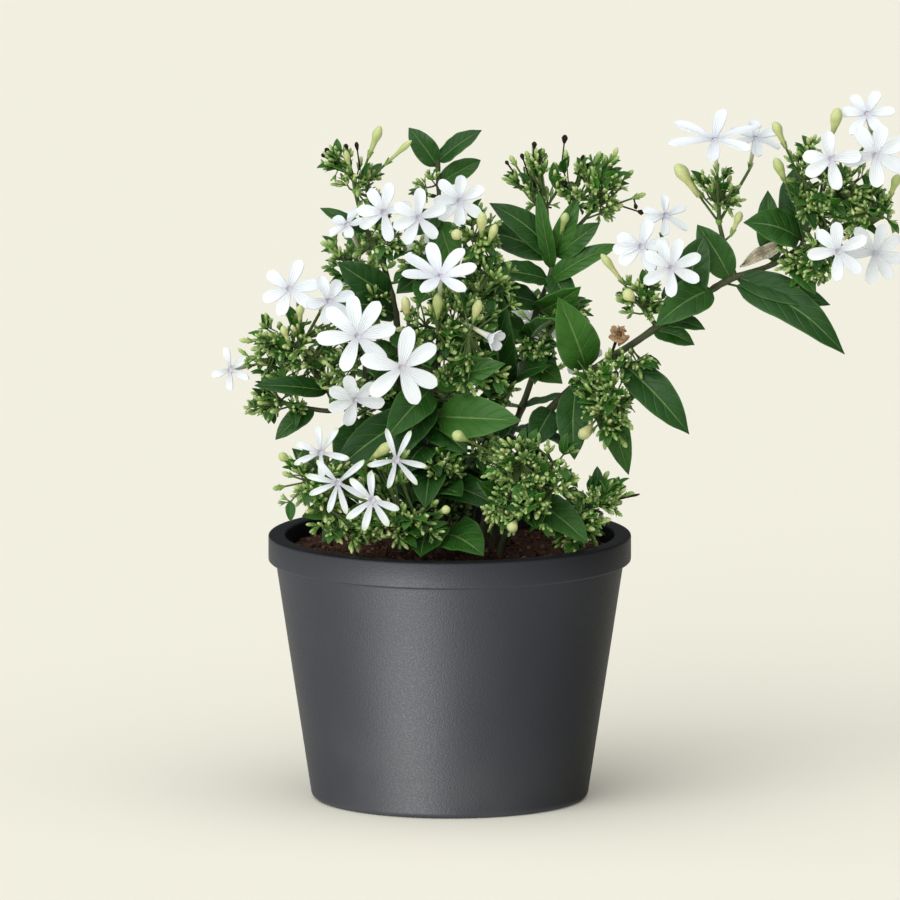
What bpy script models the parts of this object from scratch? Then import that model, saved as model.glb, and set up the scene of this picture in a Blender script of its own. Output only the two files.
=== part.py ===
"""Potted jasmine: a tapered pot, its soil, nine leafy canes, bud sprays and star-shaped blooms.

Metres, +Z up. The origin is the centre of the pot's foot, and -Y is the plant's front.
The tables below are in millimetres and degrees, and MM turns them into metres.
"""

import math
import random

import bmesh
import bpy
from mathutils import Matrix, Quaternion, Vector
from mathutils.bvhtree import BVHTree

MM = 0.001
GAP = 0.3  # left between two pieces that touch

# The pot and its soil.
RIM_RADIUS = 75.0
RIM_WIDTH = 7.0
RIM_HEIGHT = 11.0
POT_HEIGHT = 110.0
NECK_RADIUS = 72.0  # outside, just under the rim
FOOT_RADIUS = 57.0
WALL = 4.3
FLOOR = 4.0
EDGE = 0.7  # chamfers on the rim
FOOT_ROUND = 3.0
GROOVE = (22.0, 46.0, 2.0)  # inner and outer radius and depth of the channel under the foot
DRAIN_HOLES = 4
DRAIN_RADIUS = 4.0
DRAIN_CIRCLE = 34.0
POT_STEPS = 32
SOIL_TOP = 103.0
SOIL_STEPS = 16
SOIL_RELIEF = 1.3
CANE_FOOT = 78.0  # canes reach down to here in their holes
TWIG_RADII = (1.2, 0.9)

# Leaves. Each row is the share of the length from the cane and the share of the half width.
LARGE_LEAF = ((0.0, 0.0), (0.15, 0.1), (0.4, 1.0), (0.73, 0.74), (1.0, 0.0))
SMALL_LEAF = ((0.0, 0.0), (0.34, 1.0), (0.7, 0.78), (1.0, 0.0))
LARGE_HALF = 8.0  # leaves with at least this half width have the row that makes a petiole
LEAF_THICK = 0.7
LEAF_ARCH = 0.09
LEAF_FOLD = 0.22

# Blooms. Each row is the share of the petal's length and of its half width.
PETAL_ROWS = ((0.56, 1.0), (1.0, 0.5))
PETAL_THICK = 0.6
THROAT = 1.5
TUBE_LENGTH = 13.0
TUBE_FOOT = 0.8  # the tube narrows from the throat to this radius
CALYX_LENGTH = 3.0
CALYX_RADII = (0.6, 1.25)

# Buds and what carries them.
HUB = 1.9
ARM_RADII = (1.1, 0.95)
KNUCKLE = 0.9  # how far an arm runs on past its last bud's foot
PEDICEL = 0.6
STALK = 0.42
BUD_LENGTH = 5.2
BUD_HALF = 1.2
BUD_SPACING = 1.7  # between one bud's foot and the next along an arm

# Each cane: radius at the soil and at the tip, then its route from the soil's surface up.
CANES = {
    "cane_right": ((2.0, 1.0), [(18, 5, 105), (23, 2, 130), (37, -3, 157), (57, -9, 178), (78, -12, 193),
                                (98, -12, 207), (115, -12, 218), (132, -12, 224), (145, -12, 232)]),
    "cane_centre": ((1.8, 1.0), [(8, 20, 105), (13, 15, 140), (25, 8, 170), (35, 4, 200), (41, 2, 216)]),
    "cane_crown": ((1.6, 0.9), [(-3, 13, 105), (-6, 11, 140), (-5, 8, 175), (-4, 5, 205), (-4, 4, 235),
                                (-5, 3, 266)]),
    "cane_middle": ((1.8, 1.2), [(-4, -12, 105), (-7, -14, 135), (-8, -18, 160), (-6, -16, 186)]),
    "cane_upper_left": ((1.9, 1.2), [(-13, 2, 105), (-17, 0, 140), (-21, -2, 175), (-22, -3, 200),
                                     (-27, -2, 222)]),
    "cane_mid_left": ((2.0, 1.2), [(-20, -12, 105), (-27, -13, 132), (-38, -14, 158), (-50, -14, 172)]),
    "cane_low_right": ((1.8, 1.2), [(21, -14, 105), (28, -21, 120), (33, -27, 131)]),
    "cane_back_left": ((1.9, 1.2), [(-14, 28, 105), (-18, 38, 140), (-26, 48, 172), (-32, 52, 192)]),
    "cane_back_right": ((1.9, 1.2), [(14, 36, 105), (20, 46, 130), (30, 56, 154), (36, 60, 171)]),
}

# Each spray: its cane, the twig's bends from the cane to the hub, the hub, and the centres of its bud heads.
# An arm is a branch of the spray: the point where it forks, and the heads beyond that point.
SPRAYS = {
    "spray_right_tip": ("cane_right", [], (151, -13, 246), [
        ((146, -15, 260), [(147, -16, 272), (139, -14, 260), (152, -10, 270)]),
        ((160, -16, 254), [(158, -20, 258), (166, -18, 252), (172, -16, 258), (181, -14, 247)]),
        ((155, -20, 238), [(150, -24, 228), (158, -24, 224), (164, -22, 232)]),
        ((141, -19, 253), []), ((178, -19, 245), [])]),
    "spray_right_upper": ("cane_right", [(114, -12, 230)], (111, -12, 242), [
        ((111, -12, 249), [(108, -14, 258), (115, -11, 259), (103, -10, 254)])]),
    "spray_right_mid": ("cane_right", [], (81, -17, 205), [
        ((80, -19, 210), [(73, -21, 212), (80, -24, 212), (86, -20, 208), (84, -16, 219)])]),
    "spray_right_low": ("cane_right", [], (69, -19, 171), [
        ((68, -22, 166), [(62, -24, 167), (68, -27, 164), (74, -26, 160), (81, -20, 170)]),
        ((64, -21, 160), [(64, -24, 152), (72, -22, 151), (58, -22, 156)])]),
    "spray_centre_top": ("cane_centre", [], (44, 2, 228), [
        ((39, 2, 244), [(26, 1, 266), (32, 0, 268), (36, 3, 259), (31, 2, 256), (40, 4, 252)]),
        ((50, 2, 244), [(48, 0, 268), (55, 1, 266), (59, 3, 258), (61, 2, 267), (53, 6, 256)]),
        ((60, 3, 246), [(68, 3, 268), (74, 2, 260), (78, 1, 251), (66, 4, 256), (70, 0, 247)])]),
    "spray_crown": ("cane_crown", [], (6, -6, 233), [
        ((10, -9, 236), [(9, -14, 238), (14, -14, 234), (17, -10, 239), (11, -8, 243)])]),
    "spray_middle": ("cane_middle", [], (-4, -15, 197), [
        ((-10, -20, 200), [(-20, -28, 200), (-14, -31, 203), (-8, -30, 197), (-16, -24, 194)]),
        ((2, -20, 200), [(0, -31, 204), (6, -30, 200), (12, -30, 205), (9, -26, 193)]),
        ((0, -20, 192), [(2, -32, 191), (-4, -32, 188), (16, -26, 187)]),
        ((-17, -29, 198), []), ((-5, -31, 199), []), ((8, -31, 198), [])]),
    "spray_upper_left": ("cane_upper_left", [], (-29, -7, 235), [
        ((-33, -9, 234), [(-35, -14, 234), (-30, -16, 231), (-38, -10, 229), (-24, -12, 235)])]),
    "spray_top_left": ("cane_upper_left", [(-35, 3, 238)], (-39, 0, 253), [
        ((-40, 0, 260), [(-50, -1, 268), (-43, -2, 271), (-45, 1, 264), (-37, 2, 265), (-34, -2, 261)])]),
    "spray_left_mid": ("cane_mid_left", [(-57, -13, 181)], (-62, -12, 189), [
        ((-70, -14, 194), [(-75, -18, 196), (-70, -20, 200), (-80, -16, 190), (-84, -14, 193)]),
        ((-62, -18, 194), [(-64, -24, 199), (-58, -24, 195), (-67, -22, 192)]),
        ((-56, -18, 186), [(-52, -26, 186), (-60, -24, 184), (-47, -22, 190)])]),
    "spray_left_low": ("cane_mid_left", [(-48, -15, 164)], (-66, -15, 166), [
        ((-70, -16, 168), [(-80, -18, 164), (-77, -20, 168), (-73, -18, 172), (-72, -22, 165)])]),
    "spray_left_front": ("cane_mid_left", [(-36, -16, 170)], (-35, -19, 186), [
        ((-38, -22, 184), [(-44, -28, 178), (-48, -24, 181)])]),
    "spray_low_left": ("cane_mid_left", [(-30, -22, 119), (-40, -31, 128)], (-49, -36, 134), [
        ((-58, -38, 138), [(-71, -36, 135), (-67, -38, 141), (-62, -40, 136), (-61, -38, 145)]),
        ((-52, -42, 128), [(-58, -46, 127), (-51, -50, 124), (-44, -50, 122), (-49, -45, 118)])]),
    "spray_front": ("cane_middle", [(-6, -24, 114)], (-14, -38, 122), [
        ((-20, -44, 122), [(-36, -50, 121), (-30, -52, 120), (-24, -54, 124)]),
        ((-14, -46, 124), [(-17, -54, 123), (-10, -54, 126), (-6, -50, 131)])]),
    "spray_low_right": ("cane_low_right", [], (37, -31, 139), [
        ((30, -38, 146), [(22, -46, 152), (28, -48, 154), (34, -46, 151), (24, -48, 145)]),
        ((42, -38, 146), [(40, -46, 153), (46, -42, 147), (40, -48, 143), (33, -50, 139)]),
        ((42, -36, 134), [(40, -48, 131), (47, -46, 136), (50, -40, 141), (36, -50, 126)])]),
    "spray_rim_right": ("cane_low_right", [(36, -20, 118)], (50, -24, 121), [
        ((58, -28, 126), [(60, -34, 130), (66, -30, 132), (74, -28, 131), (64, -26, 138)]),
        ((54, -30, 118), [(58, -36, 118), (50, -40, 116), (64, -32, 121)])]),
    "spray_back_left": ("cane_back_left", [], (-35, 55, 204), [
        ((-40, 58, 212), [(-48, 62, 218), (-40, 66, 220), (-36, 58, 224)]),
        ((-30, 60, 208), [(-24, 68, 212), (-28, 64, 218)])]),
    "spray_back_right": ("cane_back_right", [], (40, 62, 182), [
        ((46, 66, 190), [(54, 68, 196), (46, 74, 198), (44, 66, 202)]),
        ((36, 68, 186), [(30, 76, 190), (36, 74, 196)])]),
}

# Each bloom: its spray, its centre, the way it faces (azimuth from the front towards +X, elevation),
# its radius, its petals' half width, how far they lift, and the petals' directions round the throat.
BLOOMS = [
    ("spray_upper_left", (-27, -16, 247), (-10, 8), 12.0, 2.6, 0.05, (79, 125, 178, -147, -77, 15)),
    ("spray_upper_left", (-13, -25, 246), (5, 10), 12.0, 2.6, 0.05, (85, 20, -48, -117, 150, 200)),
    ("spray_crown", (4, -12, 251), (5, 15), 11.5, 2.5, 0.05, (134, 85, 28, -37, -90, -140, 180)),
    ("spray_middle", (-4, -37, 223), (0, 52), 16.5, 3.0, 0.36, (106, 52, 3, -50, -118, 192, 155)),
    ("spray_upper_left", (-42, -8, 240), (-34, 52), 9.0, 2.3, 0.12, (90, 18, -54, -126, 162)),
    ("spray_left_front", (-38, -46, 200), (-4, 8), 16.5, 3.2, 0.04, (185, 138, 98, 58, 12, -42, -111)),
    ("spray_left_front", (-20, -59, 189), (4, 2), 17.0, 3.4, 0.04, (78, 32, -27, -67, -137, 167)),
    ("spray_left_mid", (-66, -24, 216), (-12, 20), 12.5, 2.7, 0.06, (145, 72, 12, -35, -105, -155)),
    ("spray_left_mid", (-50, -31, 212), (14, 25), 11.0, 2.6, 0.1, (105, 58, 12, -42, -105, 190)),
    ("spray_left_front", (-39, -40, 173), (4, -18), 12.0, 2.8, 0.08, (155, 108, 42, -10, -157, -105)),
    ("spray_left_mid", (-90, -14, 181), (-32, 2), 9.5, 1.7, 0.1, (105, 37, -17, -92, -160)),
    ("spray_low_left", (-53, -44, 151), (-10, 18), 12.0, 1.5, 0.06, (100, 58, -12, -84, -154, 160)),
    ("spray_low_left", (-46, -59, 141), (-4, 4), 13.5, 1.4, 0.03, (134, -157, -107, -74, -28, 40, 168)),
    ("spray_low_left", (-32, -67, 135), (4, 12), 12.5, 1.6, 0.03, (92, 135, -144, -106, -58, -20)),
    ("spray_front", (-22, -56, 150), (4, 6), 13.0, 1.3, 0.03, (108, 63, -13, -50, -106, -169)),
    ("spray_middle", (16, -34, 198), (55, -20), 7.5, 2.3, 0.9, (90, 18, -54, -126, 162)),
    ("spray_right_mid", (79, -25, 234), (-8, 12), 11.5, 2.8, 0.06, (74, 157, 188, -140, -62, 8)),
    ("spray_right_mid", (89, -9, 244), (8, 42), 10.5, 1.9, 0.06, (88, 26, -40, -98, -162, 160)),
    ("spray_right_mid", (91, -37, 227), (4, 6), 13.0, 2.6, 0.05, (72, 22, -25, -90, -152, 150, 112)),
    ("spray_right_upper", (109, -25, 278), (-10, 66), 20.0, 2.8, 0.15, (88, 28, -28, -82, 203, 150)),
    ("spray_right_upper", (126, -8, 276), (16, 58), 12.0, 2.5, 0.05, (80, 20, -40, -100, -160, 140)),
    ("spray_right_tip", (157, -35, 272), (-4, 10), 12.5, 2.9, 0.04, (100, 175, -146, -78, 7)),
    ("spray_right_tip", (175, -31, 273), (4, 8), 14.0, 3.2, 0.08, (75, 122, 190, -86, -26, 26)),
    ("spray_right_tip", (172, -13, 287), (-10, 40), 11.5, 2.5, 0.08, (129, 72, 8, -52, -118, 176)),
    ("spray_right_tip", (160, -37, 234), (-4, 4), 12.5, 2.7, 0.04, (95, 137, 188, -92, -44, 26)),
    ("spray_right_tip", (175, -23, 231), (14, 4), 13.0, 2.6, 0.05, (126, 72, 30, -16, -58, -100, 176)),
    ("spray_back_left", (-8, 74, 214), (170, 20), 13.0, 2.8, 0.05, (90, 30, -30, -90, -150, 150)),
    ("spray_back_left", (-36, 76, 196), (200, 12), 14.0, 2.9, 0.05, (100, 40, -22, -80, -140, 160)),
    ("spray_back_right", (36, 84, 186), (172, 10), 14.0, 3.0, 0.05, (80, 22, -36, -98, -150, 144)),
    ("spray_back_right", (54, 78, 174), (140, 14), 12.5, 2.7, 0.05, (92, 20, -50, -122, 164)),
]

# Large buds: spray, centre, half width, length, and the fork they stand on where that isn't the hub.
LARGE_BUDS = [
    ("spray_middle", (-18, -33, 210), 2.0, 10, (-17, -29, 198)),
    ("spray_middle", (-5, -35, 211), 2.2, 11, (-5, -31, 199)),
    ("spray_middle", (11, -35, 209), 2.1, 10, (8, -31, 198)), ("spray_low_right", (4, -46, 158), 2.5, 7),
    ("spray_right_low", (56, -27, 157), 2.6, 8), ("spray_low_right", (26, -54, 122), 2.4, 6),
    ("spray_right_mid", (74, -29, 214), 2.6, 8), ("spray_front", (-2, -56, 129), 1.9, 6),
    ("spray_right_upper", (98, -14, 260), 3.0, 17), ("spray_right_tip", (136, -14, 279), 2.2, 12),
    ("spray_right_tip", (136, -21, 265.5), 2.2, 11, (141, -19, 253)),
    ("spray_right_tip", (159, -15, 285), 2.6, 11),
    ("spray_right_tip", (183, -21, 258.5), 2.1, 11, (178, -19, 245)),
    ("spray_top_left", (-31, 0, 274), 2.1, 14),
    ("spray_top_left", (-21, -3, 270), 1.4, 15), ("spray_left_mid", (-57, -35, 208), 1.9, 13),
    ("spray_right_mid", (67, -20, 224), 1.8, 16), ("spray_crown", (3, -20, 238), 2.4, 7),
    ("spray_low_left", (-28, -46, 152), 2.4, 12), ("spray_low_left", (-68, -33, 147), 2.0, 6),
    ("spray_centre_top", (47, -6, 241), 1.9, 11),
]

# Leaves placed one by one: cane, where they leave it, tip, half width, and the way the upper side faces.
LEAVES = [
    ("cane_crown", (-5, 3, 265), (13, -1, 279), 4.5, (10, 45)),
    ("cane_crown", (-5, 3, 263), (-17, 5, 279), 5.0, (-20, 25)),
    ("cane_crown", (-4, 3, 256), (13, 11, 265), 4.5, (10, 30)),
    ("cane_crown", (-4, 4, 240), (5, -13, 221), 6.5, (5, 15)),
    ("cane_centre", (43, 2, 226), (16, -8, 243), 7.0, (-8, 30)),
    ("cane_centre", (37, 4, 206), (11, -14, 214), 6.0, (-5, 35)),
    ("cane_centre", (41, 2, 216), (15, -12, 222), 6.0, (-5, 45)),
    ("cane_centre", (41, 2, 215), (70, -5, 232), 4.5, (5, 30)),
    ("cane_centre", (36, 4, 202), (54, -14, 215), 6.0, (25, 5)),
    ("cane_centre", (42, 2, 220), (36, -6, 254), 3.5, (-15, 10)),
    ("cane_centre", (44, 2, 226), (63, -4, 247), 5.0, (10, 15)),
    ("cane_centre", (22, 9, 163), (20, -18, 216), 8.0, (-6, 12)),
    ("cane_centre", (25, 8, 170), (40, -20, 184), 5.0, (10, 30)),
    ("cane_right", (57, -9, 178), (45, -28, 213), 9.0, (6, 10)),
    ("cane_right", (52, -8, 173), (51, -30, 148), 7.0, (-5, 10)),
    ("cane_right", (60, -10, 180), (76, -27, 141), 6.5, (10, 15)),
    ("cane_right", (68, -11, 186), (99, -24, 156), 8.0, (12, 20)),
    ("cane_right", (110, -12, 215), (85, -33, 203), 8.0, (-8, 22)),
    ("cane_right", (116, -12, 218), (102, -11, 241), 6.5, (-6, 5)),
    ("cane_right", (113, -12, 217), (163, -26, 190), 8.0, (6, 25)),
    ("cane_right", (146, -12, 234), (122, -27, 245), 8.5, (-6, 35)),
    ("cane_right", (134, -12, 225), (131, -9, 255), 5.5, (-10, 5)),
    ("cane_right", (90, -12, 201), (105, -25, 200), 4.0, (10, 35)),
    ("cane_right", (138, -12, 228), (151, -25, 214), 4.5, (10, 30)),
    ("cane_right", (146, -12, 234), (142, 6, 262), 7.0, (-10, 15)),
    ("cane_upper_left", (-34, 2, 236), (-53, -2, 246), 3.0, (-20, 40)),
    ("cane_upper_left", (-24, -3, 210), (-46, -10, 225), 7.0, (-10, 20)),
    ("cane_upper_left", (-22, -3, 202), (-44, -18, 209), 6.5, (-10, 30)),
    ("cane_middle", (-7, -17, 174), (-26, -45, 158), 8.0, (-6, 20)),
    ("cane_middle", (-8, -17, 165), (-46, -42, 141), 8.5, (-10, 20)),
    ("cane_middle", (-8, -16, 150), (-17, -47, 152), 8.0, (-5, 40)),
    ("cane_middle", (-7, -17, 176), (22, -35, 187), 6.5, (8, 25)),
    ("cane_middle", (-8, -18, 162), (29, -40, 164), 9.5, (6, 22)),
    ("cane_middle", (-7, -26, 116), (-12, -55, 110), 10.0, (-8, 40)),
    ("cane_middle", (-6, -24, 114), (14, -55, 110), 10.0, (8, 40)),
    ("cane_middle", (-6, -14, 128), (5, -47, 134), 8.0, (4, 40)),
    ("cane_mid_left", (-50, -14, 172), (-80, -27, 177), 4.5, (-15, 30)),
    ("cane_mid_left", (-56, -15, 165), (-72, -22, 153), 4.5, (-15, 25)),
    ("cane_mid_left", (-39, -30, 127), (-61, -34, 123), 5.5, (-15, 35)),
    ("cane_mid_left", (-42, -32, 130), (-66, -34, 152), 4.5, (-20, 25)),
    ("cane_mid_left", (-36, -28, 124), (-53, -37, 113), 6.0, (-20, 40)),
    ("cane_low_right", (33, -26, 129), (57, -42, 113), 7.5, (15, 35)),
    ("cane_low_right", (28, -21, 121), (12, -47, 139), 8.0, (-5, 30)),
    ("cane_low_right", (30, -23, 125), (36, -52, 118), 7.0, (5, 40)),
    ("cane_middle", (-7, -16, 142), (-10, -46, 121), 7.9, (-4, 35)),
    ("cane_middle", (-8, -17, 158), (8, -34, 147), 7.5, (6, 30)),
    ("cane_middle", (-8, -17, 168), (-22, -40, 148), 7.5, (-8, 25)),
    ("cane_middle", (-8, -16, 134), (20, -34, 128), 7.0, (6, 30)),
    ("cane_mid_left", (-38, -14, 158), (-45, -32, 142), 7.5, (-10, 25)),
    ("cane_mid_left", (-32, -14, 145), (-44, -30, 128), 7.0, (-10, 30)),
    ("cane_centre", (41, 2, 219), (49, -10, 209), 6.0, (10, 20)),
    ("cane_centre", (29, 6, 182), (45, -10, 177), 6.5, (5, 25)),
    ("cane_centre", (33, 5, 193), (17, -12, 195), 7.0, (-5, 25)),
    ("cane_centre", (20, 11, 155), (20, -14, 152), 7.0, (5, 35)),
    ("cane_crown", (-5, 7, 212), (18, -8, 206), 6.5, (5, 25)),
    ("cane_crown", (-5, 8, 190), (14, -8, 182), 7.0, (5, 25)),
    ("cane_crown", (-5, 6, 222), (-22, -8, 212), 6.5, (-8, 25)),
    ("cane_crown", (-4, 4, 243), (-19, -4, 236), 5.5, (-8, 25)),
    ("cane_crown", (-6, 10, 150), (6, -6, 140), 7.0, (5, 30)),
    ("cane_upper_left", (-21, -2, 176), (-34, -14, 184), 7.0, (-10, 20)),
    ("cane_upper_left", (-22, -3, 195), (-12, -20, 188), 6.5, (5, 20)),
    ("cane_right", (98, -12, 207), (103, -22, 236), 7.9, (-5, 20)),
    ("cane_right", (24, 1, 133), (38, -14, 122), 7.0, (8, 30)),
    ("cane_right", (42, -5, 163), (34, -22, 150), 6.5, (5, 25)),
]

# Opposite pairs that fill the rest of each cane: heights, first pair's azimuth, length and half width.
PAIRS = {
    "cane_right": ((150,), 60, 30, 7.0),
    "cane_centre": ((128, 150, 188), 20, 32, 7.5),
    "cane_crown": ((132, 160, 186, 212), 80, 32, 7.5),
    "cane_middle": ((140,), 10, 28, 7.0),
    "cane_upper_left": ((128, 156, 182), 40, 30, 7.0),
    "cane_mid_left": ((126,), 70, 28, 6.5),
    "cane_back_left": ((118, 138, 158, 178), 30, 34, 7.9),
    "cane_back_right": ((118, 136, 154), 110, 34, 7.9),
}

COLOURS = {
    "pot": ((0.055, 0.057, 0.063, 1.0), 0.42),
    "soil": ((0.075, 0.028, 0.014, 1.0), 0.95),
    "cane": ((0.035, 0.135, 0.030, 1.0), 0.45),
    "spray": ((0.22, 0.36, 0.07, 1.0), 0.55),
    "bloom": ((0.90, 0.91, 0.94, 1.0), 0.55),
}


def mm(point):
    return Vector(point) * MM


def facing(azimuth, elevation):
    """Right, up and outward directions of something that faces this way."""
    a, e = math.radians(azimuth), math.radians(elevation)
    right = Vector((math.cos(a), math.sin(a), 0))
    up = Vector((-math.sin(a) * math.sin(e), math.cos(a) * math.sin(e), math.cos(e)))
    out = Vector((math.sin(a) * math.cos(e), -math.cos(a) * math.cos(e), math.sin(e)))
    return right, up, out


def placed(origin, x, y, z):
    """The matrix that puts local axes x, y and z at origin."""
    return Matrix.Translation(origin) @ Matrix((x, y, z)).transposed().to_4x4()


def along(direction, origin):
    """The matrix whose Z runs along direction from origin."""
    return Matrix.Translation(origin) @ direction.to_track_quat("Z", "Y").to_matrix().to_4x4()


class Plant:
    """The pieces of each node before they are fused, and a search tree of each piece to keep nodes apart."""

    def __init__(self):
        self.pieces = {}
        self.trees = {}
        self.routes = {}

    def shape(self, bm, matrix, margin=0.0):
        """Points and faces of a piece in the world, swollen by margin along its normals."""
        bm.normal_update()
        points = [matrix @ (v.co + v.normal * margin * MM) for v in bm.verts]
        bm.verts.index_update()
        return points, [[v.index for v in face.verts] for face in bm.faces]

    def clear(self, node, bm, matrix, margin=0.45, own=False):
        """Whether a piece and a margin round it touch no other node, or with own no piece of its node."""
        points, faces = self.shape(bm, matrix, margin)
        low, high = corners(points)
        tree = None
        for other, solids in self.trees.items():
            if (other == node) != own:
                continue
            for other_low, other_high, other_tree in solids:
                if apart(low, high, other_low, other_high):
                    continue
                tree = tree or BVHTree.FromPolygons(points, faces)
                if tree.overlap(other_tree):
                    return False
        return True

    def add(self, node, bm, matrix):
        mesh = bpy.data.meshes.new(node)
        bmesh.ops.recalc_face_normals(bm, faces=bm.faces)
        bm.to_mesh(mesh)
        piece = bpy.data.objects.new(node, mesh)
        piece.matrix_world = matrix
        self.pieces.setdefault(node, []).append(piece)
        points, faces = self.shape(bm, matrix)
        self.trees.setdefault(node, []).append((*corners(points), BVHTree.FromPolygons(points, faces)))

    def guard(self, thing):
        """Keeps the plant off a finished object."""
        mesh = thing.evaluated_get(bpy.context.evaluated_depsgraph_get()).to_mesh()
        points = [v.co.copy() for v in mesh.vertices]
        faces = [list(p.vertices) for p in mesh.polygons]
        self.trees[thing.name] = [(*corners(points), BVHTree.FromPolygons(points, faces))]

    def settle(self, node, bm, choices, margin=0.45, root=None):
        """Adds the piece at the first of its possible places that is clear, and returns that place.

        With root, the part of the piece beyond that distance also keeps clear of its own node.
        """
        free = None
        if root is not None:
            free = bm.copy()
            inner = [v for v in free.verts if v.co.length < root * MM]
            bmesh.ops.delete(free, geom=inner, context="VERTS")
        for matrix in choices:
            if not self.clear(node, bm, matrix, margin):
                continue
            if free and not self.clear(node, free, matrix, 0.1, own=True):
                continue
            self.add(node, bm, matrix)
            return matrix
        return None

    def fuse(self, node, family, material, root):
        """One Boolean union makes a node's pieces one body."""
        first, *rest = self.pieces[node]
        family.objects.link(first)
        first.name = node
        if rest:
            joined = bpy.data.collections.new(node + "_pieces")
            bpy.context.scene.collection.children.link(joined)
            for piece in rest:
                joined.objects.link(piece)
            union = first.modifiers.new("Union", "BOOLEAN")
            union.operation = "UNION"
            union.operand_type = "COLLECTION"
            union.collection = joined
            union.solver = "MANIFOLD"
            evaluated = first.evaluated_get(bpy.context.evaluated_depsgraph_get())
            fused = bpy.data.meshes.new_from_object(evaluated)
            first.modifiers.clear()
            first.data = fused
            for piece in rest:
                bpy.data.objects.remove(piece)
            bpy.data.collections.remove(joined)
        first.data.name = node
        first.data.materials.clear()
        first.data.materials.append(material)
        first.parent = root


def corners(points):
    return (Vector(map(min, zip(*points))), Vector(map(max, zip(*points))))


def apart(low, high, other_low, other_high):
    return any(low[k] > other_high[k] or other_low[k] > high[k] for k in range(3))


def nearest(points, target):
    """The point of a polyline that lies nearest to target."""
    best = None
    for a, b in zip(points, points[1:]):
        span = b - a
        share = min(1.0, max(0.0, (target - a).dot(span) / span.length_squared))
        point = a + span * share
        if best is None or (point - target).length < (best - target).length:
            best = point
    return best


def tube(points, radii, resolution):
    """A round tube along the points as a bmesh, from a bevelled curve with a radius at each point."""
    curve = bpy.data.curves.new("tube", "CURVE")
    curve.dimensions = "3D"
    curve.bevel_depth = MM
    curve.bevel_resolution = resolution
    curve.use_fill_caps = True
    spline = curve.splines.new("POLY")
    spline.points.add(len(points) - 1)
    for point, place, radius in zip(spline.points, points, radii):
        point.co = (*place, 1)
        point.radius = radius
    guide = bpy.data.objects.new("tube", curve)
    bpy.context.scene.collection.objects.link(guide)
    mesh = bpy.data.meshes.new_from_object(guide.evaluated_get(bpy.context.evaluated_depsgraph_get()))
    bm = bmesh.new()
    bm.from_mesh(mesh)
    bmesh.ops.remove_doubles(bm, verts=bm.verts, dist=1e-6)
    bpy.data.objects.remove(guide)
    bpy.data.meshes.remove(mesh)
    return bm


def tapered(first, last, count):
    """Radii that go evenly from first to last over this many points."""
    return [first + (last - first) * k / (count - 1) for k in range(count)]


def leaf_blade(length, half_width, seed):
    """A leaf in its own frame: Y runs from the cane to the tip and Z is the upper side."""
    draw = random.Random(seed)
    profile = LARGE_LEAF if half_width >= LARGE_HALF else SMALL_LEAF
    wave, phase = draw.uniform(0.05, 0.13), draw.uniform(0, 6.28)
    rows = len(profile)
    bm = bmesh.new()
    bmesh.ops.create_grid(bm, x_segments=2, y_segments=rows - 1, size=1)
    for v in bm.verts:
        side = round(v.co.x)
        share, width = profile[round((v.co.y + 1) / 2 * (rows - 1))]
        reach = width * half_width
        ripple = wave * math.sin(9 * share + phase + (1.7 if side > 0 else 0.0))
        height = length * LEAF_ARCH * math.sin(math.pi * share) + abs(side) * reach * (LEAF_FOLD + ripple)
        v.co = Vector((side * reach, length * share, height)) * MM
    bmesh.ops.remove_doubles(bm, verts=bm.verts, dist=1e-5)
    bmesh.ops.triangulate(bm, faces=bm.faces)
    bmesh.ops.solidify(bm, geom=bm.faces, thickness=LEAF_THICK * MM)
    bmesh.ops.recalc_face_normals(bm, faces=bm.faces)
    return bm


def leaf_places(root, tip, face):
    """The matrices a leaf may take: as asked, or swung and lifted about its root until it is clear."""
    reach = (tip - root).normalized()
    side = reach.cross(face).normalized()
    upright = placed(root, side, reach, side.cross(reach))
    turns = [(turn, lift) for turn in range(-40, 41, 8) for lift in range(-32, 33, 8)]
    for turn, lift in sorted(turns, key=lambda pair: abs(pair[0]) + abs(pair[1])):
        swing = Quaternion((0, 0, 1), math.radians(turn)) @ Quaternion(side, math.radians(lift))
        yield Matrix.Translation(root) @ swing.to_matrix().to_4x4() @ Matrix.Translation(-root) @ upright


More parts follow.
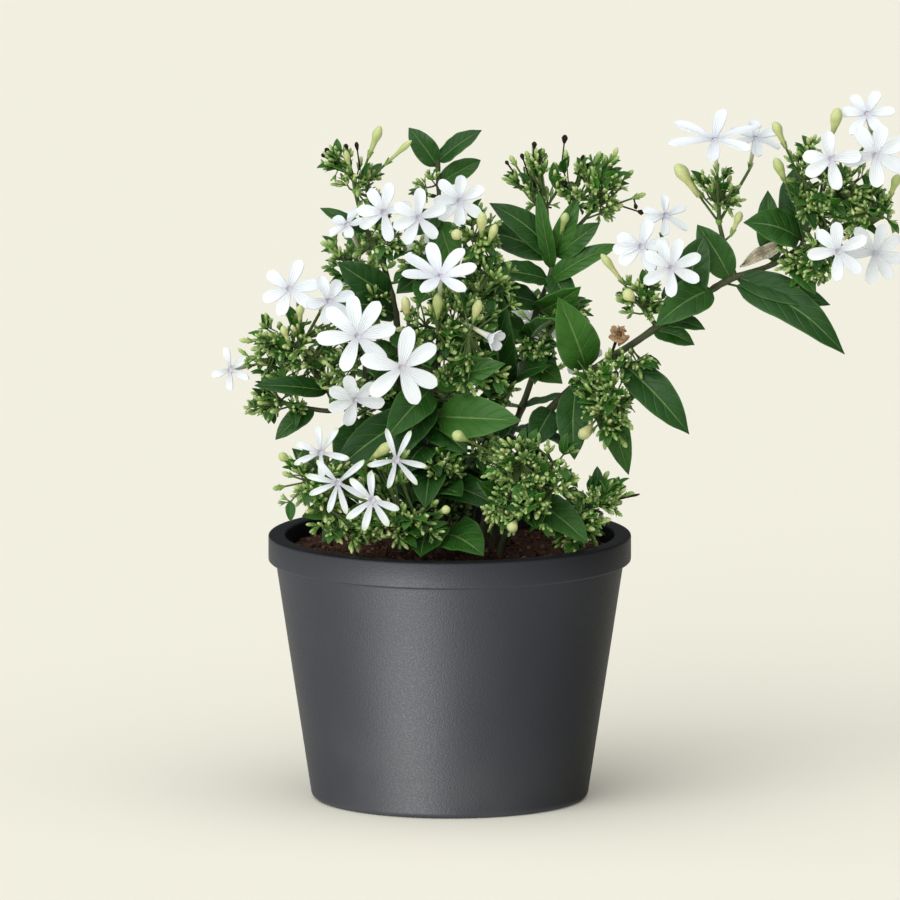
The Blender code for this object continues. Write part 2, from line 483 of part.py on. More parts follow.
def corolla(radius, half_width, lift, petals, seed):
    """A star of petals on a flat throat, facing +Z with its back at Z = 0, and the tube behind it."""
    draw = random.Random(seed)
    angles = sorted(math.radians(a) % math.tau for a in petals)
    bm = bmesh.new()
    rim = []
    for k, a in enumerate(angles):
        after = angles[(k + 1) % len(angles)] + (math.tau if k + 1 == len(angles) else 0)
        middle = (a + after) / 2
        rim.append(bm.verts.new(Vector((math.cos(middle), math.sin(middle), 0)) * THROAT * MM))
    bm.faces.new(rim)
    for k, a in enumerate(angles):
        reach = radius * draw.uniform(0.93, 1.05)
        twist, droop = draw.uniform(-0.25, 0.25), draw.uniform(0.02, 0.14)
        out = Vector((math.cos(a), math.sin(a), 0))
        side = Vector((-math.sin(a), math.cos(a), 0))
        edge = bm.edges.get((rim[k - 1], rim[k]))
        for share, width in PETAL_ROWS:
            made = bmesh.ops.extrude_edge_only(bm, edges=[edge])["geom"]
            edge = next(g for g in made if isinstance(g, bmesh.types.BMEdge))
            centre = out * (THROAT + (reach - THROAT) * share * math.cos(lift))
            centre.z = (reach - THROAT) * (share * math.sin(lift) - droop * share * share)
            for v in edge.verts:
                half = math.copysign(width * half_width, v.co.dot(side))
                v.co = (centre + side * half + Vector((0, 0, half * twist * share))) * MM
    bmesh.ops.triangulate(bm, faces=[f for f in bm.faces if len(f.verts) == 4])
    bmesh.ops.recalc_face_normals(bm, faces=bm.faces)
    if max(bm.faces, key=lambda f: len(f.verts)).normal.z > 0:
        bmesh.ops.reverse_faces(bm, faces=bm.faces)
    bmesh.ops.solidify(bm, geom=bm.faces, thickness=PETAL_THICK * MM)
    bmesh.ops.recalc_face_normals(bm, faces=bm.faces)
    back = min((f for f in bm.faces if len(f.verts) > 4), key=lambda f: f.calc_center_median().z)
    end = bmesh.ops.extrude_discrete_faces(bm, faces=[back])["faces"][0]
    for v in end.verts:
        flat = Vector((v.co.x, v.co.y, 0)).normalized() * TUBE_FOOT
        v.co = (flat - Vector((0, 0, TUBE_LENGTH))) * MM
    return bm


def cone(low, radii, length, sides):
    """A capped cone from Z = low up."""
    bm = bmesh.new()
    bmesh.ops.create_cone(bm, cap_ends=True, segments=sides, radius1=radii[0] * MM, radius2=radii[1] * MM,
                          depth=length * MM, matrix=Matrix.Translation((0, 0, (low + length / 2) * MM)))
    return bm


def stalked_bud(reach, half_width, length, sides, stalk=STALK):
    """A pointed bud on its own stalk: the stalk starts at the origin and ends at Z = reach."""
    bm = cone(0, (stalk, stalk), reach, sides)
    top = max(bm.faces, key=lambda f: f.calc_center_median().z)
    for radius, height in ((half_width, reach + 0.55 * length), (0.0, reach + length)):
        top = bmesh.ops.extrude_discrete_faces(bm, faces=[top])["faces"][0]
        for v in top.verts:
            v.co = (Vector((v.co.x, v.co.y, 0)).normalized() * radius + Vector((0, 0, height))) * MM
    bmesh.ops.remove_doubles(bm, verts=top.verts, dist=1e-6)
    return bm


def turned(name, profile, steps):
    """A solid of revolution from (radius, height) points in millimetres, which runs down its outer side."""
    mesh = bpy.data.meshes.new(name)
    points = [(r * MM, 0, z * MM) for r, z in profile]
    mesh.from_pydata(points, [(k, k + 1) for k in range(len(points) - 1)], [])
    shape = bpy.data.objects.new(name, mesh)
    screw = shape.modifiers.new("Turn", "SCREW")
    screw.steps = screw.render_steps = steps
    screw.use_merge_vertices = True
    screw.merge_threshold = 1e-5
    screw.use_smooth_shade = True
    return shape


def cut(target, cutters, tools, name):
    """Cuts the joined cutters out of the target with one Boolean modifier."""
    holder = bpy.data.collections.new(name)
    tools.children.link(holder)
    for cutter in cutters:
        holder.objects.link(cutter)
        cutter.hide_render = True
        cutter.display_type = "WIRE"
    holes = target.modifiers.new(name, "BOOLEAN")
    holes.operation = "DIFFERENCE"
    holes.operand_type = "COLLECTION"
    holes.collection = holder


def cylinder(name, radius, low, high, centre, sides):
    bm = cone(low, (radius, radius), high - low, sides)
    mesh = bpy.data.meshes.new(name)
    bm.to_mesh(mesh)
    bm.free()
    shape = bpy.data.objects.new(name, mesh)
    shape.location = mm((*centre, 0))
    return shape


def inner_radius(z):
    """The pot's inner wall at height z: upright inside the rim, tapered below it."""
    top, low = RIM_RADIUS - RIM_WIDTH, FOOT_RADIUS - WALL
    neck = POT_HEIGHT - RIM_HEIGHT
    if z >= neck:
        return top
    return low + (top - low) * (z - FLOOR) / (neck - FLOOR)


def make_pot(family, material, root):
    neck = POT_HEIGHT - RIM_HEIGHT
    inner = RIM_RADIUS - RIM_WIDTH
    slope = (NECK_RADIUS - FOOT_RADIUS) / neck
    rounding = []
    for angle in (0.0, math.pi / 4, math.pi / 2):
        inwards = FOOT_ROUND * (1 - math.cos(angle)) - slope * FOOT_ROUND
        rounding.append((FOOT_RADIUS - inwards, FOOT_ROUND * (1 - math.sin(angle))))
    profile = [(0, FLOOR), (inner_radius(FLOOR), FLOOR), (inner, neck), (inner, POT_HEIGHT - EDGE),
               (inner + EDGE, POT_HEIGHT), (RIM_RADIUS - EDGE, POT_HEIGHT), (RIM_RADIUS, POT_HEIGHT - EDGE),
               (RIM_RADIUS, neck), (NECK_RADIUS, neck), *rounding,
               (GROOVE[1], 0), (GROOVE[1], GROOVE[2]), (GROOVE[0], GROOVE[2]), (GROOVE[0], 0), (0, 0)]
    pot = turned("pot", profile, POT_STEPS)
    family.objects.link(pot)
    pot.data.materials.append(material)
    pot.parent = root
    return pot


def drill_pot(pot, tools):
    drains = []
    for k in range(DRAIN_HOLES):
        a = math.tau * (k + 0.5) / DRAIN_HOLES
        centre = (DRAIN_CIRCLE * math.cos(a), DRAIN_CIRCLE * math.sin(a))
        drains.append(cylinder(f"drain_{k + 1}", DRAIN_RADIUS, -2, FLOOR + 2, centre, 10))
    cut(pot, drains, tools, "drain_holes")


def make_soil(family, material, root):
    neck = POT_HEIGHT - RIM_HEIGHT
    side = [(inner_radius(z) - GAP - 0.1, z) for z in (SOIL_TOP - 1, neck, FLOOR + GAP)]
    rings = [(r, SOIL_TOP) for r in (0, 20, 42)]
    soil = turned("soil", [*rings, *side, (0, FLOOR + GAP)], SOIL_STEPS)
    family.objects.link(soil)
    evaluated = soil.evaluated_get(bpy.context.evaluated_depsgraph_get())
    soil.data = bpy.data.meshes.new_from_object(evaluated)
    soil.modifiers.clear()
    soil.data.materials.append(material)
    for v in soil.data.vertices:
        if v.co.z > (SOIL_TOP - 0.5) * MM:
            x, y = v.co.x / MM, v.co.y / MM
            v.co.z += SOIL_RELIEF * math.sin(x / 9 + 1) * math.cos(y / 11 + x / 23) * MM
    soil.parent = root
    return soil


def drill_soil(soil, tools):
    holes = []
    for name, (radii, route) in CANES.items():
        radius = radii[0] + GAP + 0.4
        holes.append(cylinder(name + "_hole", radius, CANE_FOOT - GAP, SOIL_TOP + 6, route[0][:2], 6))
    cut(soil, holes, tools, "cane_holes")


def grow_canes(plant):
    """Each cane and the twigs that lead from it to its sprays."""
    for cane, (radii, points) in CANES.items():
        foot = mm((*points[0][:2], CANE_FOOT))
        route = [mm(p) for p in points]
        plant.routes[cane] = [route]
        plant.add(cane, tube([foot, *route], tapered(*radii, len(route) + 1), 1), Matrix())
    for cane, bends, hub, _arms in SPRAYS.values():
        first = mm(bends[0]) if bends else mm(hub)
        main = plant.routes[cane][0]
        start = nearest(main, first) if (first - main[-1]).length > 0.02 else main[-1]
        last = mm(bends[-1]) if bends else start
        end = mm(hub) + (last - mm(hub)).normalized() * (HUB + GAP + 0.1) * MM
        route = [start, *(mm(b) for b in bends), end]
        plant.routes[cane].append(route)
        plant.add(cane, tube(route, tapered(*TWIG_RADII, len(route)), 0), Matrix())


def grow_blooms(plant):
    """The blooms, each moved a little along or across the way it faces where it would touch another."""
    places = []
    for number, (_spray, centre, face, radius, half_width, lift, petals) in enumerate(BLOOMS, 1):
        node = f"bloom_{number:02d}"
        right, up, out = facing(*face)
        bm = corolla(radius, half_width, lift, petals, node)
        shifts = [(a, b, c) for a in (0, 2, -2, 4, -4, 6) for b in (0, 2, -2) for c in (0, 2, -2)]
        choices = [placed(mm(centre) + (out * a + right * b + up * c) * MM, right, up, out)
                   for a, b, c in sorted(shifts, key=lambda s: abs(s[0]) + abs(s[1]) + abs(s[2]))]
        place = plant.settle(node, bm, choices)
        if place is None:
            print(node, "finds no clear place")
            place = choices[0]
            plant.add(node, bm, place)
        places.append(place)
    return places


def bloom_stalk(plant, node, hub, seat, heading):
    """A stalk from a hub to a calyx, and the calyx. Where another node is in its way, the stalk bows."""
    end = seat + heading * CALYX_LENGTH * MM
    side = heading.orthogonal().normalized()
    middle = hub.lerp(seat, 0.5)
    bows = [Quaternion(heading, math.tau * k / 8) @ side * reach * MM
            for reach in (2.5, 5, 8) for k in range(8)]
    for bends in [[]] + [[middle + bow] for bow in bows]:
        bm = tube([hub, *bends, seat, end], (*[PEDICEL] * (1 + len(bends)), *CALYX_RADII), 0)
        if plant.clear(node, bm, Matrix(), 0.35):
            plant.add(node, bm, Matrix())
            return
    print(node, "finds no clear way to the bloom at", [round(c / MM) for c in end])


def bud_places(foot, way):
    """The matrices a stalked bud may take: straight along way, or leaning off it a little."""
    side = way.orthogonal().normalized()
    for lean in (0, 9, 18, 27, 36):
        for k in range(8 if lean else 1):
            axis = Quaternion(way, math.tau * k / 8) @ side
            yield along(Quaternion(axis, math.radians(lean)) @ way, foot)


def grow_sprays(plant, places):
    """Hubs, the stalks and calyces of the blooms, the large buds, and the arms with their small buds."""
    for node, (_cane, _bends, hub, _arms) in SPRAYS.items():
        bm = bmesh.new()
        bmesh.ops.create_uvsphere(bm, u_segments=4, v_segments=2, radius=HUB * MM)
        plant.add(node, bm, Matrix.Translation(mm(hub)))
    for (node, *_), place in zip(BLOOMS, places):
        hub = mm(SPRAYS[node][2])
        out = place.to_3x3() @ Vector((0, 0, 1))
        bloom_stalk(plant, node, hub, place.translation - out * (TUBE_LENGTH + GAP + CALYX_LENGTH) * MM, out)
    for node, centre, half_width, length, *fork in LARGE_BUDS:
        foot = mm(fork[0] if fork else SPRAYS[node][2])
        way = (mm(centre) - foot).normalized()
        reach = (mm(centre) - foot).length / MM - length / 2
        bm = stalked_bud(reach, half_width, length, 5, PEDICEL)
        if not plant.settle(node, bm, bud_places(foot, way), 0.4):
            print(node, "large bud finds no place near", centre)
    for node, (_cane, _bends, hub, arms) in SPRAYS.items():
        for fork, _tips in arms:
            way = mm(fork) - mm(hub)
            arm = cone(0, ARM_RADII, way.length / MM + KNUCKLE, 3)
            place = along(way.normalized(), mm(hub))
            if not plant.clear(node, arm, place, 0.35):
                print(node, "arm to", fork, "is not clear")
            plant.add(node, arm, place)


def grow_buds(plant):
    """The small buds of each arm. One with no clear place is left out."""
    grown = 0
    wanted = 0
    for node, (_cane, _bends, hub, arms) in SPRAYS.items():
        draw = random.Random(node)
        for fork, tips in arms:
            down = (mm(hub) - mm(fork)).normalized() * BUD_SPACING * MM
            for k, tip in enumerate(tips):
                wanted += 1
                foot = mm(fork) + down * k
                reach = max((mm(tip) - foot).length / MM - BUD_LENGTH / 2, 3)
                bm = stalked_bud(reach, BUD_HALF, BUD_LENGTH * draw.uniform(0.85, 1.15), 3)
                if plant.settle(node, bm, bud_places(foot, (mm(tip) - foot).normalized()), 0.4, reach - 0.5):
                    grown += 1
    print(grown, "of", wanted, "small buds")


def grow_leaves(plant):
    """The leaves placed one by one, then the opposite pairs that fill the canes."""
    wanted = []
    for cane, near, tip, half_width, face in LEAVES:
        roots = [nearest(route, mm(near)) for route in plant.routes[cane]]
        root = min(roots, key=lambda p: (p - mm(near)).length)
        wanted.append((cane, root, mm(tip), half_width, facing(*face)[2]))
    for cane, (heights, first, length, half_width) in PAIRS.items():
        draw = random.Random(cane)
        route = plant.routes[cane][0]
        for pair, height in enumerate(heights):
            root = min(route, key=lambda p: abs(p.z - height * MM))
            root = nearest(route, Vector((root.x, root.y, height * MM)))
            for half in (0, 180):
                azimuth = first + 90 * pair + half + draw.uniform(-18, 18)
                _right, _up, out = facing(azimuth, draw.uniform(-12, 26))
                grown = length * draw.uniform(0.85, 1.12)
                face = (out * 0.35 + Vector((0, 0, 1))).normalized()
                broad = half_width * draw.uniform(0.85, 1.1)
                wanted.append((cane, root, root + out * grown * MM, broad, face))
    left_out = 0
    for number, (cane, root, tip, half_width, face) in enumerate(wanted):
        length = (tip - root).length / MM
        for size in (1.0, 0.82):
            bm = leaf_blade(length * size, half_width * size, f"leaf {number}")
            if plant.settle(cane, bm, leaf_places(root, tip, face), root=0.25 * length):
                break
        else:
            left_out += 1
            print("leaf", number, "of", cane, "has no room")
    print(len(wanted) - left_out, "leaves")


def main():
    for thing in list(bpy.data.objects):
        bpy.data.objects.remove(thing)
    family = bpy.data.collections.new("potted_jasmine")
    tools = bpy.data.collections.new("cutters")
    bpy.context.scene.collection.children.link(family)
    bpy.context.scene.collection.children.link(tools)
    root = bpy.data.objects.new("potted_jasmine", None)
    family.objects.link(root)
    materials = {}
    for name, (colour, roughness) in COLOURS.items():
        materials[name] = bpy.data.materials.new(name)
        materials[name].use_nodes = True
        surface = materials[name].node_tree.nodes["Principled BSDF"]
        surface.inputs["Base Color"].default_value = colour
        surface.inputs["Roughness"].default_value = roughness
        surface.inputs["Metallic"].default_value = 0.0
    pot = make_pot(family, materials["pot"], root)
    soil = make_soil(family, materials["soil"], root)
    plant = Plant()
    plant.guard(pot)
    plant.guard(soil)
    grow_canes(plant)
    grow_sprays(plant, grow_blooms(plant))
    grow_leaves(plant)
    grow_buds(plant)
    for node in plant.pieces:
        plant.fuse(node, family, materials[node.split("_")[0]], root)
    drill_pot(pot, tools)
    drill_soil(soil, tools)


main()
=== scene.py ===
"""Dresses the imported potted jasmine: a moulded pot, crumbly soil, leafy canes, bud heads and white blooms.

Metres, +Z up, -Y is the plant's front. The tables are in millimetres and degrees, as in the part's source.
"""

import math
import random

import bpy
import numpy as np
from bpy.props import FloatProperty, FloatVectorProperty, IntProperty, PointerProperty
from mathutils import Matrix, Quaternion, Vector, noise
from mathutils.bvhtree import BVHTree
from mathutils.kdtree import KDTree


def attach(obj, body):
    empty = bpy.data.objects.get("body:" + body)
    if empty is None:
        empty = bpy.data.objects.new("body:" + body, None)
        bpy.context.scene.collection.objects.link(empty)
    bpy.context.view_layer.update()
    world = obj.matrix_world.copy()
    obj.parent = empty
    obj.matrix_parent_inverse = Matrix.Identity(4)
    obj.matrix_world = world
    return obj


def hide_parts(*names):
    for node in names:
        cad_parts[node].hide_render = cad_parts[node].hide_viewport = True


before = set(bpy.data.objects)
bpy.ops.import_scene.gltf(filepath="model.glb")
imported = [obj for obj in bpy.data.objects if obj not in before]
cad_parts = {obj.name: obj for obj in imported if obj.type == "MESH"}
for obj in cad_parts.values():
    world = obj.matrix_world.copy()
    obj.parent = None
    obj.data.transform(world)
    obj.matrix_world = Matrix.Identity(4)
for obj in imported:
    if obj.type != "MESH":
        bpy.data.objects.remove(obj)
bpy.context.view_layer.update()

bl_info = {
    "name": "Potted Jasmine",
    "version": (1, 0, 0),
    "blender": (4, 5, 0),
    "location": "View3D > Sidebar > Jasmine",
    "description": "Builds the looks of a potted jasmine round its packed solids",
    "category": "Add Mesh",
}

BODY = "root"
MM = 0.001

# The pot and its soil.
RIM_RADIUS = 75.0
RIM_WIDTH = 7.0
RIM_HEIGHT = 11.0
POT_HEIGHT = 110.0
NECK_RADIUS = 72.0
FOOT_RADIUS = 57.0
WALL = 4.3
FLOOR = 4.0
FOOT_ROUND = 3.0
GROOVE = (22.0, 46.0, 2.0)  # inner and outer radius, depth
DRAIN_HOLES = 4
DRAIN_RADIUS = 4.0
DRAIN_CIRCLE = 34.0
SOIL_TOP = 103.0
SOIL_RELIEF = 1.3
SOIL_STEPS = 150
SOIL_RINGS = 69
RING_STEP = 0.95
CRUMB_FIELD = 66.0
CANE_FOOT = 78.0

# Leaves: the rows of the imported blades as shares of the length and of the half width, and their bend.
LARGE_LEAF = ((0.0, 0.0), (0.15, 0.1), (0.4, 1.0), (0.73, 0.74), (1.0, 0.0))
SMALL_LEAF = ((0.0, 0.0), (0.34, 1.0), (0.7, 0.78), (1.0, 0.0))
LARGE_HALF = 8.0
LEAF_ARCH = 0.09
LEAF_FOLD = 0.22
LEAF_SIZES = (1.0, 0.82)

# Blooms.
THROAT = 1.5
TUBE_LENGTH = 13.0
TUBE_FOOT = 0.8
CALYX_LENGTH = 3.0
BLOOM_CALYX = (1.25, 1.25, 4.6)
PETAL_BACK = 0.6  # the petals' faces stand this far before the throat
PETAL_OUTLINE = ((0.0, 0.4), (0.12, 0.52), (0.3, 0.78), (0.48, 0.96), (0.62, 1.0), (0.76, 0.96),
                 (0.87, 0.82), (0.94, 0.6), (0.98, 0.36), (1.0, 0.12))
TUBE_PROFILE = ((0.3, -13.0), (0.8, -13.0), (0.85, -10), (0.95, -6), (1.15, -2.5), (1.45, -0.4),
                (1.75, 0.35), (1.45, 0.55), (1.0, 0.3), (0.6, 0.0), (0.3, -0.25))

# Buds and what carries them.
HUB = 1.9
GAP = 0.3
TWIG_RADII = (1.2, 0.9)
SWELLING = 0.28  # how much thicker a cane is where something leaves it
SWELLING_REACH = 1.8
ARM_RADII = (1.0, 0.8)
PEDICEL = 0.55
STALK = 0.4
BUD_LENGTH = 5.2
BUD_HALF = 1.2
BUD_SPACING = 1.7
CLUB = ((0, 0.3), (0.2, 0.5), (0.42, 0.8), (0.62, 1.0), (0.82, 0.82), (0.94, 0.45), (1, 0))
LONG_CLUB = ((0, 0.42), (0.3, 0.5), (0.5, 0.62), (0.7, 1.0), (0.85, 0.85), (0.95, 0.45), (1, 0))
BUD_CALYX = (1.15, 1.15, 3.6)

# The crowds of small buds, which stand on branchlets.
YOUNG_LENGTH = 2.3  # of a young calyx
YOUNG_SHARE = 0.5  # of the small buds are young calyces
GREEN_SHARE = 0.88  # of the other small buds are green, the rest cream
CROWD_REACH = 0.88  # the share of the listed radii that the branchlets fill
CROWD_FILL = 0.42  # below 1, more of the branchlets end in the outer part
HEAD_BUDS = (3, 4, 5, 6, 7)  # the buds that one branchlet may carry
HEAD_BRACTS = (0, 1, 2)
HEAD_LIFT = (0, -0.1, 0.3)  # the buds turn up and a little to the front
HEAD_SPREAD = 0.8  # how far buds and bracts lean off their branchlet
BRANCHLET_RADII = (0.48, 0.4, 0.34)
SHORTEST_BRANCHLET = 2.5
HEAD_MARGIN = 0.8  # free space round a branchlet's end
TIP_MARGIN = 0.6  # free space round the tip of a bud or bract
TIP_SPACING = 1.7
SHOOT_CLEARANCE = 3.0  # the way of a side shoot has to be free from this far off its cane
TRIES = 5  # for each bud of a crowd

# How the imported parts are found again.
FIT_LIMIT = 0.2  # a part is found where its probes lie this near to the node's corners
END_REACH = 20.0  # a twig that leads this near to its cane's end starts at that end
FIRST_FINER_LEAF = 200  # numbers the leaves that aren't packed

# How the meshes are finished: metres, and degrees for the edges that stay sharp.
WELD = 1e-6
THIN_BLADE = 0.0003
SHARP = 50
POT_SHARP = 35
ROUND_SHARP = 60

# The colour all round, the camera's aim in metres, and each light's azimuth, elevation and spread.
SURROUNDINGS = (0.97, 0.99, 1.0, 1.0)
VIEW_CENTRE = (0.0001, 0, 0.145)
SENSOR_WIDTH = 36
KEY_LIGHT = ((-36, 13), 62)
TOP_LIGHT = ((-20, 72), 100)
POT_LIGHT = ((-31, -28), 36)

# Each cane: radius at the soil and at the tip, then its route from the soil's surface up.
CANES = {
    "cane_right": ((2.0, 1.0), [(18, 5, 105), (23, 2, 130), (37, -3, 157), (57, -9, 178), (78, -12, 193),
                                (98, -12, 207), (115, -12, 218), (132, -12, 224), (145, -12, 232)]),
    "cane_centre": ((1.8, 1.0), [(8, 20, 105), (13, 15, 140), (25, 8, 170), (35, 4, 200), (41, 2, 216)]),
    "cane_crown": ((1.6, 0.9), [(-3, 13, 105), (-6, 11, 140), (-5, 8, 175), (-4, 5, 205), (-4, 4, 235),
                                (-5, 3, 266)]),
    "cane_middle": ((1.8, 1.2), [(-4, -12, 105), (-7, -14, 135), (-8, -18, 160), (-6, -16, 186)]),
    "cane_upper_left": ((1.9, 1.2), [(-13, 2, 105), (-17, 0, 140), (-21, -2, 175), (-22, -3, 200),
                                     (-27, -2, 222)]),
    "cane_mid_left": ((2.0, 1.2), [(-20, -12, 105), (-27, -13, 132), (-38, -14, 158), (-50, -14, 172)]),
    "cane_low_right": ((1.8, 1.2), [(21, -14, 105), (28, -21, 120), (33, -27, 131)]),
    "cane_back_left": ((1.9, 1.2), [(-14, 28, 105), (-18, 38, 140), (-26, 48, 172), (-32, 52, 192)]),
    "cane_back_right": ((1.9, 1.2), [(14, 36, 105), (20, 46, 130), (30, 56, 154), (36, 60, 171)]),
}

# Each spray: its cane, the twig's bends from the cane to the hub, the hub, and its arms. An arm is a
# branch: the point where it forks, and the centres of the small buds beyond that point.
SPRAYS = {
    "spray_right_tip": ("cane_right", [], (151, -13, 246), [
        ((146, -15, 260), [(147, -16, 272), (139, -14, 260), (152, -10, 270)]),
        ((160, -16, 254), [(158, -20, 258), (166, -18, 252), (172, -16, 258), (181, -14, 247)]),
        ((155, -20, 238), [(150, -24, 228), (158, -24, 224), (164, -22, 232)]),
        ((141, -19, 253), []), ((178, -19, 245), [])]),
    "spray_right_upper": ("cane_right", [(114, -12, 230)], (111, -12, 242), [
        ((111, -12, 249), [(108, -14, 258), (115, -11, 259), (103, -10, 254)])]),
    "spray_right_mid": ("cane_right", [], (81, -17, 205), [
        ((80, -19, 210), [(73, -21, 212), (80, -24, 212), (86, -20, 208), (84, -16, 219)])]),
    "spray_right_low": ("cane_right", [], (69, -19, 171), [
        ((68, -22, 166), [(62, -24, 167), (68, -27, 164), (74, -26, 160), (81, -20, 170)]),
        ((64, -21, 160), [(64, -24, 152), (72, -22, 151), (58, -22, 156)])]),
    "spray_centre_top": ("cane_centre", [], (44, 2, 228), [
        ((39, 2, 244), [(26, 1, 266), (32, 0, 268), (36, 3, 259), (31, 2, 256), (40, 4, 252)]),
        ((50, 2, 244), [(48, 0, 268), (55, 1, 266), (59, 3, 258), (61, 2, 267), (53, 6, 256)]),
        ((60, 3, 246), [(68, 3, 268), (74, 2, 260), (78, 1, 251), (66, 4, 256), (70, 0, 247)])]),
    "spray_crown": ("cane_crown", [], (6, -6, 233), [
        ((10, -9, 236), [(9, -14, 238), (14, -14, 234), (17, -10, 239), (11, -8, 243)])]),
    "spray_middle": ("cane_middle", [], (-4, -15, 197), [
        ((-10, -20, 200), [(-20, -28, 200), (-14, -31, 203), (-8, -30, 197), (-16, -24, 194)]),
        ((2, -20, 200), [(0, -31, 204), (6, -30, 200), (12, -30, 205), (9, -26, 193)]),
        ((0, -20, 192), [(2, -32, 191), (-4, -32, 188), (16, -26, 187)]),
        ((-17, -29, 198), []), ((-5, -31, 199), []), ((8, -31, 198), [])]),
    "spray_upper_left": ("cane_upper_left", [], (-29, -7, 235), [
        ((-33, -9, 234), [(-35, -14, 234), (-30, -16, 231), (-38, -10, 229), (-24, -12, 235)])]),
    "spray_top_left": ("cane_upper_left", [(-35, 3, 238)], (-39, 0, 253), [
        ((-40, 0, 260), [(-50, -1, 268), (-43, -2, 271), (-45, 1, 264), (-37, 2, 265), (-34, -2, 261)])]),
    "spray_left_mid": ("cane_mid_left", [(-57, -13, 181)], (-62, -12, 189), [
        ((-70, -14, 194), [(-75, -18, 196), (-70, -20, 200), (-80, -16, 190), (-84, -14, 193)]),
        ((-62, -18, 194), [(-64, -24, 199), (-58, -24, 195), (-67, -22, 192)]),
        ((-56, -18, 186), [(-52, -26, 186), (-60, -24, 184), (-47, -22, 190)])]),
    "spray_left_low": ("cane_mid_left", [(-48, -15, 164)], (-66, -15, 166), [
        ((-70, -16, 168), [(-80, -18, 164), (-77, -20, 168), (-73, -18, 172), (-72, -22, 165)])]),
    "spray_left_front": ("cane_mid_left", [(-36, -16, 170)], (-35, -19, 186), [
        ((-38, -22, 184), [(-44, -28, 178), (-48, -24, 181)])]),
    "spray_low_left": ("cane_mid_left", [(-30, -22, 119), (-40, -31, 128)], (-49, -36, 134), [
        ((-58, -38, 138), [(-71, -36, 135), (-67, -38, 141), (-62, -40, 136), (-61, -38, 145)]),
        ((-52, -42, 128), [(-58, -46, 127), (-51, -50, 124), (-44, -50, 122), (-49, -45, 118)])]),
    "spray_front": ("cane_middle", [(-6, -24, 114)], (-14, -38, 122), [
        ((-20, -44, 122), [(-36, -50, 121), (-30, -52, 120), (-24, -54, 124)]),
        ((-14, -46, 124), [(-17, -54, 123), (-10, -54, 126), (-6, -50, 131)])]),
    "spray_low_right": ("cane_low_right", [], (37, -31, 139), [
        ((30, -38, 146), [(22, -46, 152), (28, -48, 154), (34, -46, 151), (24, -48, 145)]),
        ((42, -38, 146), [(40, -46, 153), (46, -42, 147), (40, -48, 143), (33, -50, 139)]),
        ((42, -36, 134), [(40, -48, 131), (47, -46, 136), (50, -40, 141), (36, -50, 126)])]),
    "spray_rim_right": ("cane_low_right", [(36, -20, 118)], (50, -24, 121), [
        ((58, -28, 126), [(60, -34, 130), (66, -30, 132), (74, -28, 131), (64, -26, 138)]),
        ((54, -30, 118), [(58, -36, 118), (50, -40, 116), (64, -32, 121)])]),
    "spray_back_left": ("cane_back_left", [], (-35, 55, 204), [
        ((-40, 58, 212), [(-48, 62, 218), (-40, 66, 220), (-36, 58, 224)]),
        ((-30, 60, 208), [(-24, 68, 212), (-28, 64, 218)])]),
    "spray_back_right": ("cane_back_right", [], (40, 62, 182), [
        ((46, 66, 190), [(54, 68, 196), (46, 74, 198), (44, 66, 202)]),
        ((36, 68, 186), [(30, 76, 190), (36, 74, 196)])]),
}

